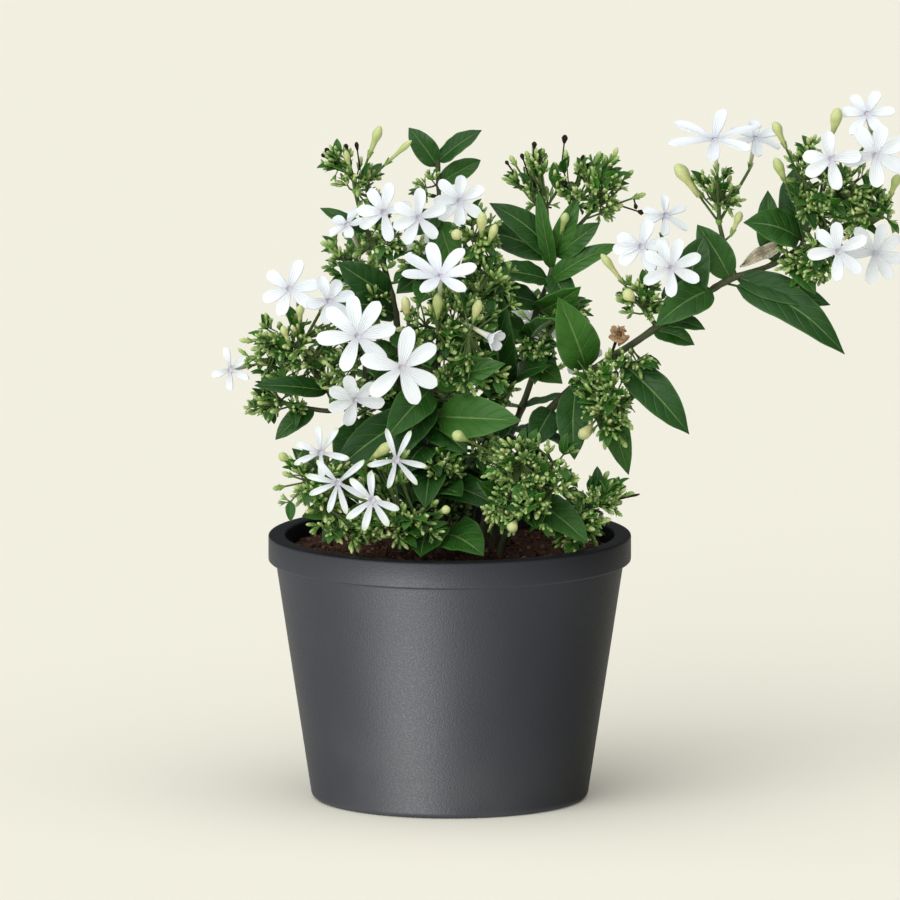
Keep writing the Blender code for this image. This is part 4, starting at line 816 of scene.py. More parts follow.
def ribs_group():
    """The midrib, the side veins and the margin of a leaf, from its own UV map."""
    group, given, result = new_group("Leaf ribs", {"Pairs": 7.0, "Slant": 1.6}, ("Rib", "Veins", "Margin"))
    place = coordinates(group, "UV")
    across = times(group, maths(group, "ABSOLUTE", maths(group, "SUBTRACT", place[0], 0.5)), 2.0)
    rib = ease(group, across, 0.02, 0.085, 1.0, 0.0)
    slant = times(group, across, given["Slant"])
    phase = maths(group, "SUBTRACT", times(group, place[1], given["Pairs"]), slant)
    wave = maths(group, "ABSOLUTE", maths(group, "SUBTRACT", maths(group, "FRACT", phase), 0.5))
    line = ease(group, wave, 0.0, 0.09, 1.0, 0.0)
    fade = ease(group, across, 0.7, 0.98, 1.0, 0.0)
    group.links.new(rib, result["Rib"])
    group.links.new(times(group, line, fade), result["Veins"])
    group.links.new(ease(group, across, 0.86, 1.0), result["Margin"])
    return group


class Finishes:
    """The materials of all pieces and the node groups that they share."""

    def __init__(self):
        self.mottle = mottle_group()
        self.ribs = ribs_group()
        self.made = {}

    def get(self, name):
        """The finish of this name, made when it is first asked for."""
        if name not in self.made:
            self.made[name] = getattr(self, name)()
        return self.made[name]

    def leaf_sides(self):
        """The finishes of a blade: its upper side, then its under side."""
        return [self.get("leaf_upper"), self.get("leaf_under")]

    def start(self, name, **sockets):
        """A new material with these values on its shader, and its nodes."""
        finish = bpy.data.materials.new(name)
        finish.use_nodes = True
        for key, value in sockets.items():
            finish.node_tree.nodes["Principled BSDF"].inputs[key.replace("_", " ")].default_value = value
        return finish, finish.node_tree

    def finished(self, finish, colour, roughness, height, depth):
        """Gives a material's shader its colour, its roughness and a relief as deep as depth in metres."""
        tree = finish.node_tree
        surface = tree.nodes["Principled BSDF"].inputs
        tree.links.new(colour, surface["Base Color"])
        if roughness is not None:
            tree.links.new(roughness, surface["Roughness"])
        bump = add_node(tree, "Bump", {"Height": height, "Distance": depth})
        tree.links.new(bump.outputs[0], surface["Normal"])
        return finish

    def patches(self, tree, size, grain):
        """The two values of the mottle group."""
        node = add_node(tree, "Group", node_tree=self.mottle)
        node.inputs["Size"].default_value = size
        node.inputs["Grain"].default_value = grain
        return node.outputs["Patches"], node.outputs["Fine"]

    def pot_plastic(self):
        """Moulded satin plastic: near black in faint patches, finely grained, dusty towards the foot."""
        settings = bpy.context.scene.jasmine_pot
        finish, tree = self.start("pot_plastic", Specular_IOR_Level=0.08)
        patches, fine = self.patches(tree, 24.0, 1500.0)
        height = coordinates(tree, "Object")[2]
        dust = times(tree, ease(tree, height, 0.045, 0.0, 0.0, 0.2), patches)
        tint = mixed(tree, times(tree, patches, 0.5), tuple(settings.colour), tinted(settings.colour, 1.2))
        colour = mixed(tree, dust, tint, (0.024, 0.023, 0.02, 1.0))
        rough = plus(tree, settings.roughness, times(tree, fine, 0.1))
        return self.finished(finish, colour, plus(tree, rough, times(tree, dust, 0.3)), fine, 0.00004)

    def soil_earth(self):
        """Damp red-brown earth: dark hollows, and crumbs that are lighter or redder by their tone."""
        settings = bpy.context.scene.jasmine_soil
        finish, tree = self.start("soil_earth", Specular_IOR_Level=0.25)
        patches, fine = self.patches(tree, 260.0, 1400.0)
        tone = attribute(tree, "tone")
        base = mixed(tree, patches, tinted(settings.colour, 0.4), tuple(settings.colour))
        crumb = ramp(tree, tone, [(0.0, (0.03, 0.016, 0.01, 1)), (0.5, (0.12, 0.05, 0.028, 1)),
                                  (0.86, (0.2, 0.1, 0.06, 1)), (0.95, (0.3, 0.17, 0.1, 1))])
        colour = mixed(tree, maths(tree, "GREATER_THAN", tone, 0.001), base, crumb)
        return self.finished(finish, colour, ease(tree, patches, 0.0, 1.0, 0.8, 0.98), fine, 0.0006)

    def leaf(self, name, shade, rib_share, relief, **sockets):
        """A leaf's skin: green by tone and patches, with paler ribs, veins and margin."""
        settings = bpy.context.scene.jasmine_foliage
        finish, tree = self.start(name, **sockets)
        patches, fine = self.patches(tree, 90.0, 700.0)
        ribs = add_node(tree, "Group", node_tree=self.ribs).outputs
        fresh, rib = tinted(settings.fresh_green, shade), tuple(settings.rib_colour)
        age = plus(tree, attribute(tree, "tone"), times(tree, patches, 0.22))
        green = mixed(tree, ease(tree, age, 0.0, 1.2), tinted(settings.deep_green, shade), fresh)
        pale = mixed(tree, 0.5, fresh, rib)
        for mark, share, colour in (("Veins", 0.35, pale), ("Margin", 0.3, pale), ("Rib", rib_share, rib)):
            green = mixed(tree, times(tree, ribs[mark], share), green, colour)
        rough = ease(tree, patches, 0.0, 1.0, settings.roughness, settings.roughness + 0.14)
        height = maths(tree, "MAXIMUM", ribs["Rib"], times(tree, ribs["Veins"], 0.6))
        height = plus(tree, times(tree, height, relief), times(tree, fine, 0.12))
        return self.finished(finish, green, rough, height, 0.0004)

    def leaf_upper(self):
        return self.leaf("leaf_upper", 1.0, 0.55, -1.0, Specular_IOR_Level=0.32)

    def leaf_under(self):
        return self.leaf("leaf_under", 1.7, 0.45, 1.0, Specular_IOR_Level=0.2)

    def stem(self, name, low, high, size):
        """Stem skin: two colours in patches, with lengthwise streaks."""
        finish, tree = self.start(name, Specular_IOR_Level=0.35)
        patches, fine = self.patches(tree, size, 1300.0)
        place = add_node(tree, "Mapping", {"Vector": add_node(tree, "TexCoord").outputs["Object"],
                                           "Scale": (1.0, 1.0, 0.12)}).outputs[0]
        streak = cloud(tree, place, 1500.0, 1.0)
        share = plus(tree, times(tree, patches, 0.6), times(tree, streak, 0.4))
        rough = ease(tree, fine, 0.0, 1.0, 0.5, 0.75)
        return self.finished(finish, mixed(tree, share, low, high), rough, streak, 0.0003)

    def cane_bark(self):
        return self.stem("cane_bark", (0.045, 0.04, 0.022, 1), (0.08, 0.11, 0.04, 1), 70.0)

    def twig_green(self):
        return self.stem("twig_green", (0.05, 0.09, 0.022, 1), (0.12, 0.19, 0.05, 1), 160.0)

    def bud_skin(self):
        """Buds by tone: deep green calyces, yellow-green buds, cream ones that are about to open."""
        settings = bpy.context.scene.jasmine_buds
        finish, tree = self.start("bud_skin", Specular_IOR_Level=0.4)
        patches, fine = self.patches(tree, 420.0, 1500.0)
        tone = plus(tree, attribute(tree, "tone"), times(tree, patches, 0.1))
        green, ripe = tuple(settings.green), tuple(settings.ripe)
        half = tuple(0.5 * (a + b) for a, b in zip(green, ripe))
        body = ramp(tree, tone, [(0.0, (0.022, 0.014, 0.01, 1)), (0.08, (0.03, 0.02, 0.012, 1)),
                                 (0.14, (0.07, 0.14, 0.03, 1)), (0.55, green), (0.8, half), (1.0, ripe)])
        share = attribute(tree, "along")
        tip = mixed(tree, ease(tree, share, 0.45, 1.0, 0.0, 0.5), body, (0.6, 0.7, 0.34, 1))
        tip = mixed(tree, maths(tree, "GREATER_THAN", tone, 0.12), body, tip)
        shaded = mixed(tree, ease(tree, share, 0.0, 0.35, 0.45, 0.0), tip, (0.05, 0.11, 0.022, 1))
        return self.finished(finish, shaded, ease(tree, fine, 0.0, 1.0, 0.42, 0.62), fine, 0.0001)

    def petal_white(self):
        """Matt white, faint creases, bluish painted shade in the creases and in patches, a greenish throat,
        a cream tube, green ends where toned.
        """
        settings = bpy.context.scene.jasmine_petals
        finish, tree = self.start("petal_white", Roughness=0.5, Specular_IOR_Level=0.3, Sheen_Weight=0.08)
        share = attribute(tree, "along")
        band = ramp(tree, maths(tree, "MULTIPLY_ADD", share, 0.5, 0.5),
                    [(0.0, (0.36, 0.44, 0.16, 1)), (0.2, (0.6, 0.62, 0.38, 1)),
                     (0.46, (0.72, 0.72, 0.62, 1)), (0.5, (0.66, 0.65, 0.72, 1)),
                     (0.54, (0.76, 0.78, 0.84, 1)), (0.63, tuple(settings.white))])
        place = coordinates(tree, "UV")
        comb = maths(tree, "SINE", times(tree, place[0], 34.0))
        crease_relief_and_painted_shade = times(tree, ease(tree, comb, 0.1, 1.0), ease(tree, place[1], 0.0, 0.9, 1.0, 0.1))
        # painted shade: the creases are tinted bluish grey where their folds would lie in shade; the same
        # mask also gives their relief
        tint = mixed(tree, times(tree, crease_relief_and_painted_shade, 0.3), band, (0.62, 0.68, 0.79, 1))
        # painted shade: bluish grey patches laid over the white
        patches, _fine = self.patches(tree, 150.0, 1500.0)
        tint = mixed(tree, times(tree, patches, 0.2), tint, (0.7, 0.76, 0.83, 1))
        ends = times(tree, attribute(tree, "tone"), ease(tree, share, 0.72, 1.0, 0.0, 0.6))
        return self.finished(finish, mixed(tree, ends, tint, (0.52, 0.68, 0.36, 1)), None, crease_relief_and_painted_shade, 0.0002)

    def withered(self):
        """Dead tissue by tone, from black tips through rust to straw."""
        finish, tree = self.start("withered", Specular_IOR_Level=0.2)
        patches, fine = self.patches(tree, 300.0, 1300.0)
        tone = plus(tree, attribute(tree, "tone"), times(tree, patches, 0.2))
        colour = ramp(tree, tone, [(0.0, (0.008, 0.006, 0.005, 1)), (0.3, (0.03, 0.017, 0.01, 1)),
                                   (0.6, (0.38, 0.2, 0.08, 1)), (1.0, (0.62, 0.58, 0.45, 1))])
        return self.finished(finish, colour, ease(tree, fine, 0.0, 1.0, 0.7, 0.9), fine, 0.0004)

    def studio_floor(self):
        """A plain pale floor."""
        colour = tuple(bpy.context.scene.jasmine_stage.floor_colour)
        return self.start("studio_floor", Base_Color=colour, Roughness=0.95, Specular_IOR_Level=0.0)[0]


class Plant:
    """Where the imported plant's parts stand, worked out again from the tables and the nodes' corners."""

    def __init__(self):
        self.trees = {node: corner_tree(node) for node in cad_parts}
        self.routes = {}
        for cane, (_radii, points) in CANES.items():
            self.routes[cane] = [[mm(p) for p in points]]
        for cane, bends, hub, _arms in SPRAYS.values():
            first = mm(bends[0]) if bends else mm(hub)
            main = self.routes[cane][0]
            start = nearest(main, first) if (first - main[-1]).length > END_REACH * MM else main[-1]
            last = mm(bends[-1]) if bends else start
            end = mm(hub) + (last - mm(hub)).normalized() * (HUB + GAP + 0.1) * MM
            self.routes[cane].append([start, *(mm(b) for b in bends), end])
        self.blooms = [self.find_bloom(number) for number in range(len(BLOOMS))]
        self.leaves = {cane: [] for cane in CANES}
        for number, wanted in enumerate(self.wanted_leaves()):
            self.find_leaf(number, *wanted)
        for number, finer in enumerate(FINER_LEAVES, FIRST_FINER_LEAF):
            self.finer_leaf(number, *finer)
        self.others = face_tree([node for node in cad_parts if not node.startswith("spray")])

    def find_bloom(self, number):
        """The place of a packed bloom, which may stand a little off its place in the table."""
        _spray, centre, face, _radius, _half_width, _lift, petals = BLOOMS[number]
        right, up, out = facing(*face)
        angles = sorted(math.radians(a) % math.tau for a in petals)
        probes = []
        for k, a in enumerate(angles):
            after = angles[(k + 1) % len(angles)] + (math.tau if k + 1 == len(angles) else 0)
            middle = (a + after) / 2
            probes.append(mm((TUBE_FOOT * math.cos(middle), TUBE_FOOT * math.sin(middle), -TUBE_LENGTH)))
        shifts = [(a, b, c) for a in (0, 2, -2, 4, -4, 6) for b in (0, 2, -2) for c in (0, 2, -2)]
        choices = [(placed(mm(centre) + (out * a + right * b + up * c) * MM, right, up, out), probes, None)
                   for a, b, c in shifts]
        return fitted(self.trees[f"bloom_{number + 1:02d}"], choices)[0]

    def root_near(self, cane, near):
        """The point of a cane or its twigs that lies nearest to a place in the tables."""
        roots = [nearest(route, mm(near)) for route in self.routes[cane]]
        return min(roots, key=lambda p: (p - mm(near)).length)

    def finer_leaf(self, number, cane, near, tip, half_width, face):
        """Keeps a leaf that isn't packed for its cane."""
        root = self.root_near(cane, near)
        span = mm(tip) - root
        place = leaf_place(root, span.normalized(), facing(*face)[2])
        self.leaves[cane].append((number, place, span.length / MM, half_width))

    def wanted_leaves(self):
        """Each leaf as asked for in the tables: cane, root, tip, half width and the way it faces."""
        for cane, near, tip, half_width, face in LEAVES:
            yield cane, self.root_near(cane, near), mm(tip), half_width, facing(*face)[2]
        for cane, (heights, first, length, half_width) in PAIRS.items():
            draw = random.Random(cane)
            route = self.routes[cane][0]
            for pair, height in enumerate(heights):
                root = min(route, key=lambda p: abs(p.z - height * MM))
                root = nearest(route, Vector((root.x, root.y, height * MM)))
                for half in (0, 180):
                    azimuth = first + 90 * pair + half + draw.uniform(-18, 18)
                    _right, _up, out = facing(azimuth, draw.uniform(-12, 26))
                    grown = length * draw.uniform(0.85, 1.12)
                    face = (out * 0.35 + Vector((0, 0, 1))).normalized()
                    yield cane, root, root + out * grown * MM, half_width * draw.uniform(0.85, 1.1), face

    def find_leaf(self, number, cane, root, tip, half_width, face):
        """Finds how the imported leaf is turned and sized, and keeps it for its cane."""
        length = (tip - root).length / MM
        reach = (tip - root).normalized()
        side = reach.cross(face).normalized()
        asked = leaf_place(root, reach, face)
        seed = f"leaf {number}"
        choices = []
        for size in LEAF_SIZES:
            rows = LARGE_LEAF if half_width * size >= LARGE_HALF else SMALL_LEAF
            widest = [(share, width) for share, width in rows if width > 0.5]
            probes = [mm((0, length * size, 0))]
            for share, width in widest:
                for edge in (-1, 1):
                    reach_out = width * half_width * size
                    height = leaf_height(length * size, reach_out, share, edge, seed)
                    probes.append(mm((edge * reach_out, length * size * share, height)))
            for turn in range(-40, 41, 8):
                for lift in range(-32, 33, 8):
                    swing = Quaternion((0, 0, 1), math.radians(turn)) @ Quaternion(side, math.radians(lift))
                    turned = Matrix.Translation(root) @ swing.to_matrix().to_4x4()
                    choices.append((turned @ Matrix.Translation(-root) @ asked, probes, size))
        found = fitted(self.trees[cane], choices)
        if found is None:
            print("leaf", number, "of", cane, "isn't found in its node")
            return
        place, _probes, size = found
        self.leaves[cane].append((number, place, length * size, half_width * size))

    def find_bud(self, node, foot, way, reach, length):
        """The place of a packed bud: straight along way or leaning off it."""
        side = way.orthogonal().normalized()
        probes = [mm((0, 0, reach + length))]
        choices = []
        for lean in (0, 9, 18, 27, 36):
            for k in range(8 if lean else 1):
                axis = Quaternion(way, math.tau * k / 8) @ side
                choices.append((along(Quaternion(axis, math.radians(lean)) @ way, foot), probes, None))
        found = fitted(self.trees[node], choices)
        return found and found[0]

    def bloom_bow(self, node, hub, seat, heading):
        """The bend of a bloom's stalk, or nothing where it is straight."""
        side = heading.orthogonal().normalized()
        middle = hub.lerp(seat, 0.5)
        for reach in (2.5, 5, 8):
            for k in range(8):
                bend = middle + Quaternion(heading, math.tau * k / 8) @ side * reach * MM
                around = self.trees[node].find_n(bend, 4)
                if all(0.35 * MM < distance < 0.85 * MM for _co, _index, distance in around):
                    return [bend]
        return []

    def open_way(self, start, end, margin):
        """Whether a straight line and a margin round its end meet no leaf, cane, bloom, pot or soil."""
        span = end - start
        if self.others.find_nearest(end, margin * MM)[0] is not None:
            return False
        return self.others.ray_cast(start, span.normalized(), span.length)[0] is None


def leaf_height(length, reach, share, side, seed):
    """The height of a blade over its root: its arch, its fold along the midrib and the wave of its edge."""
    draw = random.Random(seed)
    wave, phase = draw.uniform(0.05, 0.13), draw.uniform(0, 6.28)
    ripple = wave * np.sin(9 * share + phase + 1.7 * (side > 0))
    return length * LEAF_ARCH * np.sin(np.pi * share) + np.abs(side) * reach * (LEAF_FOLD + ripple)


def leaf_surface(grid, length, half_width, seed, curl, bow=0.0):
    """The points of a leaf in its own frame: Y to the tip, Z the upper side."""
    side, share = grid[:, 0], (grid[:, 1] + 1) / 2
    large = half_width >= LARGE_HALF
    neck = 0.12 if large else 0.03
    taper = 0.85 if large else 0.75
    peak = 0.5 / (0.5 + taper)
    blade = np.clip((share - neck) / (1 - neck), 0, 1)
    outline = blade ** 0.5 * (1 - blade) ** taper / (peak ** 0.5 * (1 - peak) ** taper)
    outline = outline * (1 - 0.5 * np.clip((blade - 0.8) / 0.2, 0, 1) ** 2)
    petiole = np.where(share < 0.3, 0.45, 0.0)
    reach = np.maximum(outline * half_width, petiole)
    height = leaf_height(length, reach, share, side, seed)
    veins = np.cos(math.tau * (share * 7 - np.abs(side) * 1.6))
    quilt = np.sin(np.pi * np.abs(side)) * reach * (0.07 + 0.05 * veins)
    margin = np.abs(side) ** 3 * reach * 0.06 * np.sin(26 * share + length)
    drop = length * curl * np.clip(share - 0.5, 0, 1) ** 2
    across = side * reach + length * bow * np.sin(np.pi * share)
    return np.stack([across, length * share, height + quilt + margin - drop], axis=1)


def petal_surface(grid, reach, half_width, lift, twist, droop, cup, wave):
    """The points of a petal that runs out along +X from the throat, with its face up."""
    side, share = grid[:, 0], (grid[:, 1] + 1) / 2
    outline = np.interp(share, *zip(*PETAL_OUTLINE))
    width = outline * half_width
    beyond = 1.03 * share
    spread = (reach - THROAT) * beyond
    out = THROAT * 0.75 + spread * math.cos(lift)
    up = (reach - THROAT) * (beyond * math.sin(lift) - droop * beyond ** 2)
    half = side * width
    keel = width * cup * (side ** 2 - 0.35) * np.sin(np.pi * np.clip(share, 0, 0.92))
    furrow = -0.16 * np.exp(-(side / 0.16) ** 2) * np.sin(np.pi * share)
    ruffle = wave * side * np.sin(7 * share + wave * 40) * share
    height = PETAL_BACK + up + half * twist * share + keel + furrow + ruffle
    return np.stack([out, half, height], axis=1)


def grid_pattern(across, steps):
    """A flat grid that leaves and petals are shaped from."""
    bpy.ops.object.select_all(action="DESELECT")
    bpy.ops.mesh.primitive_grid_add(x_subdivisions=across, y_subdivisions=steps, size=2, calc_uvs=True)
    return Pattern(bpy.context.object)


def bud_pattern(segments, rings, outline, furrow):
    """A club-shaped bud of unit height and half width. Its furrows wind round it."""
    bpy.ops.object.select_all(action="DESELECT")
    bpy.ops.mesh.primitive_uv_sphere_add(segments=segments, ring_count=rings, radius=1)
    shape = bpy.context.object
    shares, widths = zip(*outline)
    for v in shape.data.vertices:
        share = (v.co.z + 1) / 2
        angle = math.atan2(v.co.y, v.co.x) + share * furrow * 8
        width = np.interp(share, shares, widths) * (1 + furrow * math.cos(5 * math.atan2(v.co.y, v.co.x)))
        v.co = (width * math.cos(angle), width * math.sin(angle), share)
    return Pattern(shape)


def calyx_pattern(teeth, spread):
    """A small cup with a crown of pointed teeth, one unit high to their tips."""
    bpy.ops.object.select_all(action="DESELECT")
    bpy.ops.mesh.primitive_cone_add(vertices=2 * teeth, radius1=0.4, radius2=1, depth=1,
                                    end_fill_type="TRIFAN", location=(0, 0, 0.5))
    bpy.ops.object.transform_apply(location=True)
    shape = bpy.context.object
    for v in shape.data.vertices:
        radius = math.hypot(v.co.x, v.co.y)
        if v.co.z < 0.5:
            continue
        if radius < 0.5:
            v.co.z = 0.4
            continue
        tooth = round(math.atan2(v.co.y, v.co.x) / math.pi * teeth) % 2
        v.co.x, v.co.y = (c / radius * (0.8 if tooth else spread) for c in v.co.xy)
        v.co.z = 0.45 if tooth else 1.0
    return Pattern(shape)


class Patterns:
    """Every shape that is modelled once and copied."""

    def __init__(self):
        self.leaf = grid_pattern(10, 22)
        self.bract = grid_pattern(4, 7)
        self.petal = grid_pattern(6, 14)
        self.bud = bud_pattern(6, 5, CLUB, 0.0)
        self.large_bud = bud_pattern(15, 12, CLUB, 0.05)
        self.long_bud = bud_pattern(15, 14, LONG_CLUB, 0.05)
        self.calyx = calyx_pattern(5, 1.35)
        self.large_calyx = calyx_pattern(7, 1.2)
        self.tube = Pattern(lathe(TUBE_PROFILE, 12))
        bpy.ops.object.select_all(action="DESELECT")
        bpy.ops.mesh.primitive_ico_sphere_add(subdivisions=1, radius=1)
        self.crumb = Pattern(bpy.context.object)


class Workshop:
    """What several operators need: the finishes, the patterns and the plant's places."""

    made = None

    @classmethod
    def open(cls):
        """The one workshop, set up when it is first asked for."""
        if cls.made is None:
            cls.made = cls()
        return cls.made

    def __init__(self):
        self.finishes = Finishes()
        self.patterns = Patterns()
        self.plant = Plant()


def inner_radius(z):
    """The pot's inner wall at height z: upright inside the rim, tapered below it."""
    top, low = RIM_RADIUS - RIM_WIDTH, FOOT_RADIUS - WALL
    neck = POT_HEIGHT - RIM_HEIGHT
    if z >= neck:
        return top
    return low + (top - low) * (z - FLOOR) / (neck - FLOOR)


class PotSettings(bpy.types.PropertyGroup):
    facets: IntProperty(name="Facets", description="Flats round the pot", default=160, min=32, max=400)
    edge: FloatProperty(name="Edge", description="Rounding of the rim's edges", default=0.0009,
                        unit="LENGTH")
    colour: FloatVectorProperty(name="Colour", description="Colour of the plastic", subtype="COLOR", size=4,
                                default=(0.0081, 0.0087, 0.0102, 1.0))
    roughness: FloatProperty(name="Roughness", description="Roughness of the plastic", subtype="FACTOR",
                             default=0.42)


class SoilSettings(bpy.types.PropertyGroup):
    crumbs: IntProperty(name="Crumbs", description="Loose crumbs on the surface", default=1100, min=0)
    crumb_size: FloatProperty(name="Crumb size", description="Radius of a usual crumb", default=0.0009,
                              unit="LENGTH")
    colour: FloatVectorProperty(name="Colour", description="Colour of the soil", subtype="COLOR", size=4,
                                default=(0.095, 0.038, 0.02, 1.0))


class FoliageSettings(bpy.types.PropertyGroup):
    thickness: FloatProperty(name="Blade", description="Thickness of a leaf", default=0.0005, unit="LENGTH")
    deep_green: FloatVectorProperty(name="Deep green", description="Colour of old leaves", subtype="COLOR",
                                    size=4, default=(0.010, 0.06, 0.006, 1.0))
    fresh_green: FloatVectorProperty(name="Fresh green", description="Colour of young leaves",
                                     subtype="COLOR", size=4, default=(0.042, 0.155, 0.014, 1.0))
    rib_colour: FloatVectorProperty(name="Ribs", description="Colour of the midribs", subtype="COLOR",
                                    size=4, default=(0.22, 0.37, 0.12, 1.0))
    roughness: FloatProperty(name="Roughness", description="Roughness of the leaves", subtype="FACTOR",
                             default=0.4)


class BudSettings(bpy.types.PropertyGroup):
    crowding: FloatProperty(name="Crowding", description="Share of the listed small buds that are made",
                            subtype="FACTOR", default=1.0, min=0.0, max=1.0)
    green: FloatVectorProperty(name="Green", description="Colour of young buds", subtype="COLOR", size=4,
                               default=(0.23, 0.41, 0.085, 1.0))
    ripe: FloatVectorProperty(name="Ripe", description="Colour of buds about to open", subtype="COLOR",
                              size=4, default=(0.68, 0.67, 0.31, 1.0))


class PetalSettings(bpy.types.PropertyGroup):
    thickness: FloatProperty(name="Petal", description="Thickness of a petal", default=0.0004,
                             unit="LENGTH")
    white: FloatVectorProperty(name="White", description="Colour of the petals", subtype="COLOR", size=4,
                               default=(0.83, 0.875, 0.905, 1.0))


class StageSettings(bpy.types.PropertyGroup):
    distance: FloatProperty(name="Camera distance", description="From the camera to the plant",
                            default=12.0, unit="LENGTH")
    width: FloatProperty(name="View width", description="Width that the view takes in at the plant",
                         default=0.372, unit="LENGTH")
    elevation: FloatProperty(name="Camera elevation", description="How far the camera looks down",
                             default=math.radians(9.2), subtype="ANGLE")
    floor_colour: FloatVectorProperty(name="Floor", description="Colour of the floor", subtype="COLOR",
                                      size=4, default=(0.92, 0.894, 0.773, 1.0))
    key: FloatProperty(name="Key light", description="Strength of the light from the left", default=2.0)
    top: FloatProperty(name="Top light", description="Strength of the light from above", default=2.0)
    pot_light: FloatProperty(name="Pot light", default=19.0,
                             description="Strength of the low light that only the pot takes")
    fill: FloatProperty(name="Fill", description="Brightness of the surroundings", default=0.2)


class JASMINE_OT_stage(bpy.types.Operator):
    """Sets the floor, the soft lights and the camera"""
    bl_idname = "jasmine.stage"
    bl_label = "Stage"

    def execute(self, context):
        settings = context.scene.jasmine_stage
        bpy.ops.object.select_all(action="DESELECT")
        bpy.ops.mesh.primitive_plane_add(size=200)
        floor = context.object
        floor.name = floor.data.name = "studio_floor"
        dressed(floor, Workshop.open().finishes.get("studio_floor"))
        self.light("key_light", *KEY_LIGHT, settings.key)
        self.light("top_light", *TOP_LIGHT, settings.top)
        strip = self.light("pot_light", *POT_LIGHT, settings.pot_light)
        lit = bpy.data.collections.new("lit_by_pot_light")
        lit.objects.link(bpy.data.objects["pot_shell"])
        strip.light_linking.receiver_collection = lit
        strip.light_linking.blocker_collection = lit
        world = bpy.data.worlds.new("studio")
        world.use_nodes = True
        surroundings = world.node_tree.nodes["Background"].inputs
        surroundings["Color"].default_value = SURROUNDINGS
        surroundings["Strength"].default_value = settings.fill
        context.scene.world = world
        context.scene.view_settings.view_transform = "Standard"
        lens = bpy.data.cameras.new("camera")
        lens.sensor_width = SENSOR_WIDTH
        lens.lens = lens.sensor_width * settings.distance / settings.width
        camera = linked("camera", lens)
        _right, _up, out = facing(0, math.degrees(settings.elevation))
        camera.location = Vector(VIEW_CENTRE) + out * settings.distance
        camera.rotation_euler = (-out).to_track_quat("-Z", "Y").to_euler()
        context.scene.camera = camera
        return {"FINISHED"}

    def light(self, name, direction, spread, strength):
        """A sun-like light from an azimuth and elevation, as wide as spread in degrees."""
        lamp = bpy.data.lights.new(name, "SUN")
        lamp.energy = strength
        lamp.angle = math.radians(spread)
        holder = linked(name, lamp)
        holder.rotation_euler = (-facing(*direction)[2]).to_track_quat("-Z", "Y").to_euler()
        return holder


class JASMINE_OT_pot(bpy.types.Operator):
    """Turns the pot from its profile and drills its drain holes"""
    bl_idname = "jasmine.pot"
    bl_label = "Pot"

    def execute(self, context):
        settings = context.scene.jasmine_pot
        neck = POT_HEIGHT - RIM_HEIGHT
        inner = RIM_RADIUS - RIM_WIDTH
        slope = (NECK_RADIUS - FOOT_RADIUS) / neck
        rounding = [(FOOT_RADIUS - FOOT_ROUND * (1 - math.cos(a)) + slope * FOOT_ROUND,
                     FOOT_ROUND * (1 - math.sin(a))) for a in (math.pi / 2 * k / 6 for k in range(7))]
        profile = [(2, FLOOR), (inner_radius(FLOOR), FLOOR), (inner, neck), (inner, POT_HEIGHT),
                   (RIM_RADIUS, POT_HEIGHT), (RIM_RADIUS, neck), (NECK_RADIUS, neck), *rounding,
                   (GROOVE[1], 0), (GROOVE[1], GROOVE[2]), (GROOVE[0], GROOVE[2]), (GROOVE[0], 0), (2, 0)]
        pot = lathe([(r * MM, z * MM) for r, z in profile], settings.facets)
        use_modifier(pot, "Edges", "BEVEL", width=settings.edge, segments=3, limit_method="ANGLE",
                     angle_limit=math.radians(40), use_clamp_overlap=True)
        drills = []
        for k in range(DRAIN_HOLES):
            a = math.tau * (k + 0.5) / DRAIN_HOLES
            bpy.ops.object.select_all(action="DESELECT")
            bpy.ops.mesh.primitive_cylinder_add(
                vertices=40, radius=DRAIN_RADIUS * MM, depth=(FLOOR + 4) * MM,
                location=mm((DRAIN_CIRCLE * math.cos(a), DRAIN_CIRCLE * math.sin(a), FLOOR / 2)))
            drills.append(context.object)
        drill = joined("drill", *drills)
        use_modifier(pot, "Drains", "BOOLEAN", operation="DIFFERENCE", object=drill, solver="EXACT")
        bpy.data.objects.remove(drill)
        smoothed(pot, POT_SHARP)
        dressed(pot, Workshop.open().finishes.get("pot_plastic"))
        hand_over(joined("pot_shell", pot), "pot")
        return {"FINISHED"}


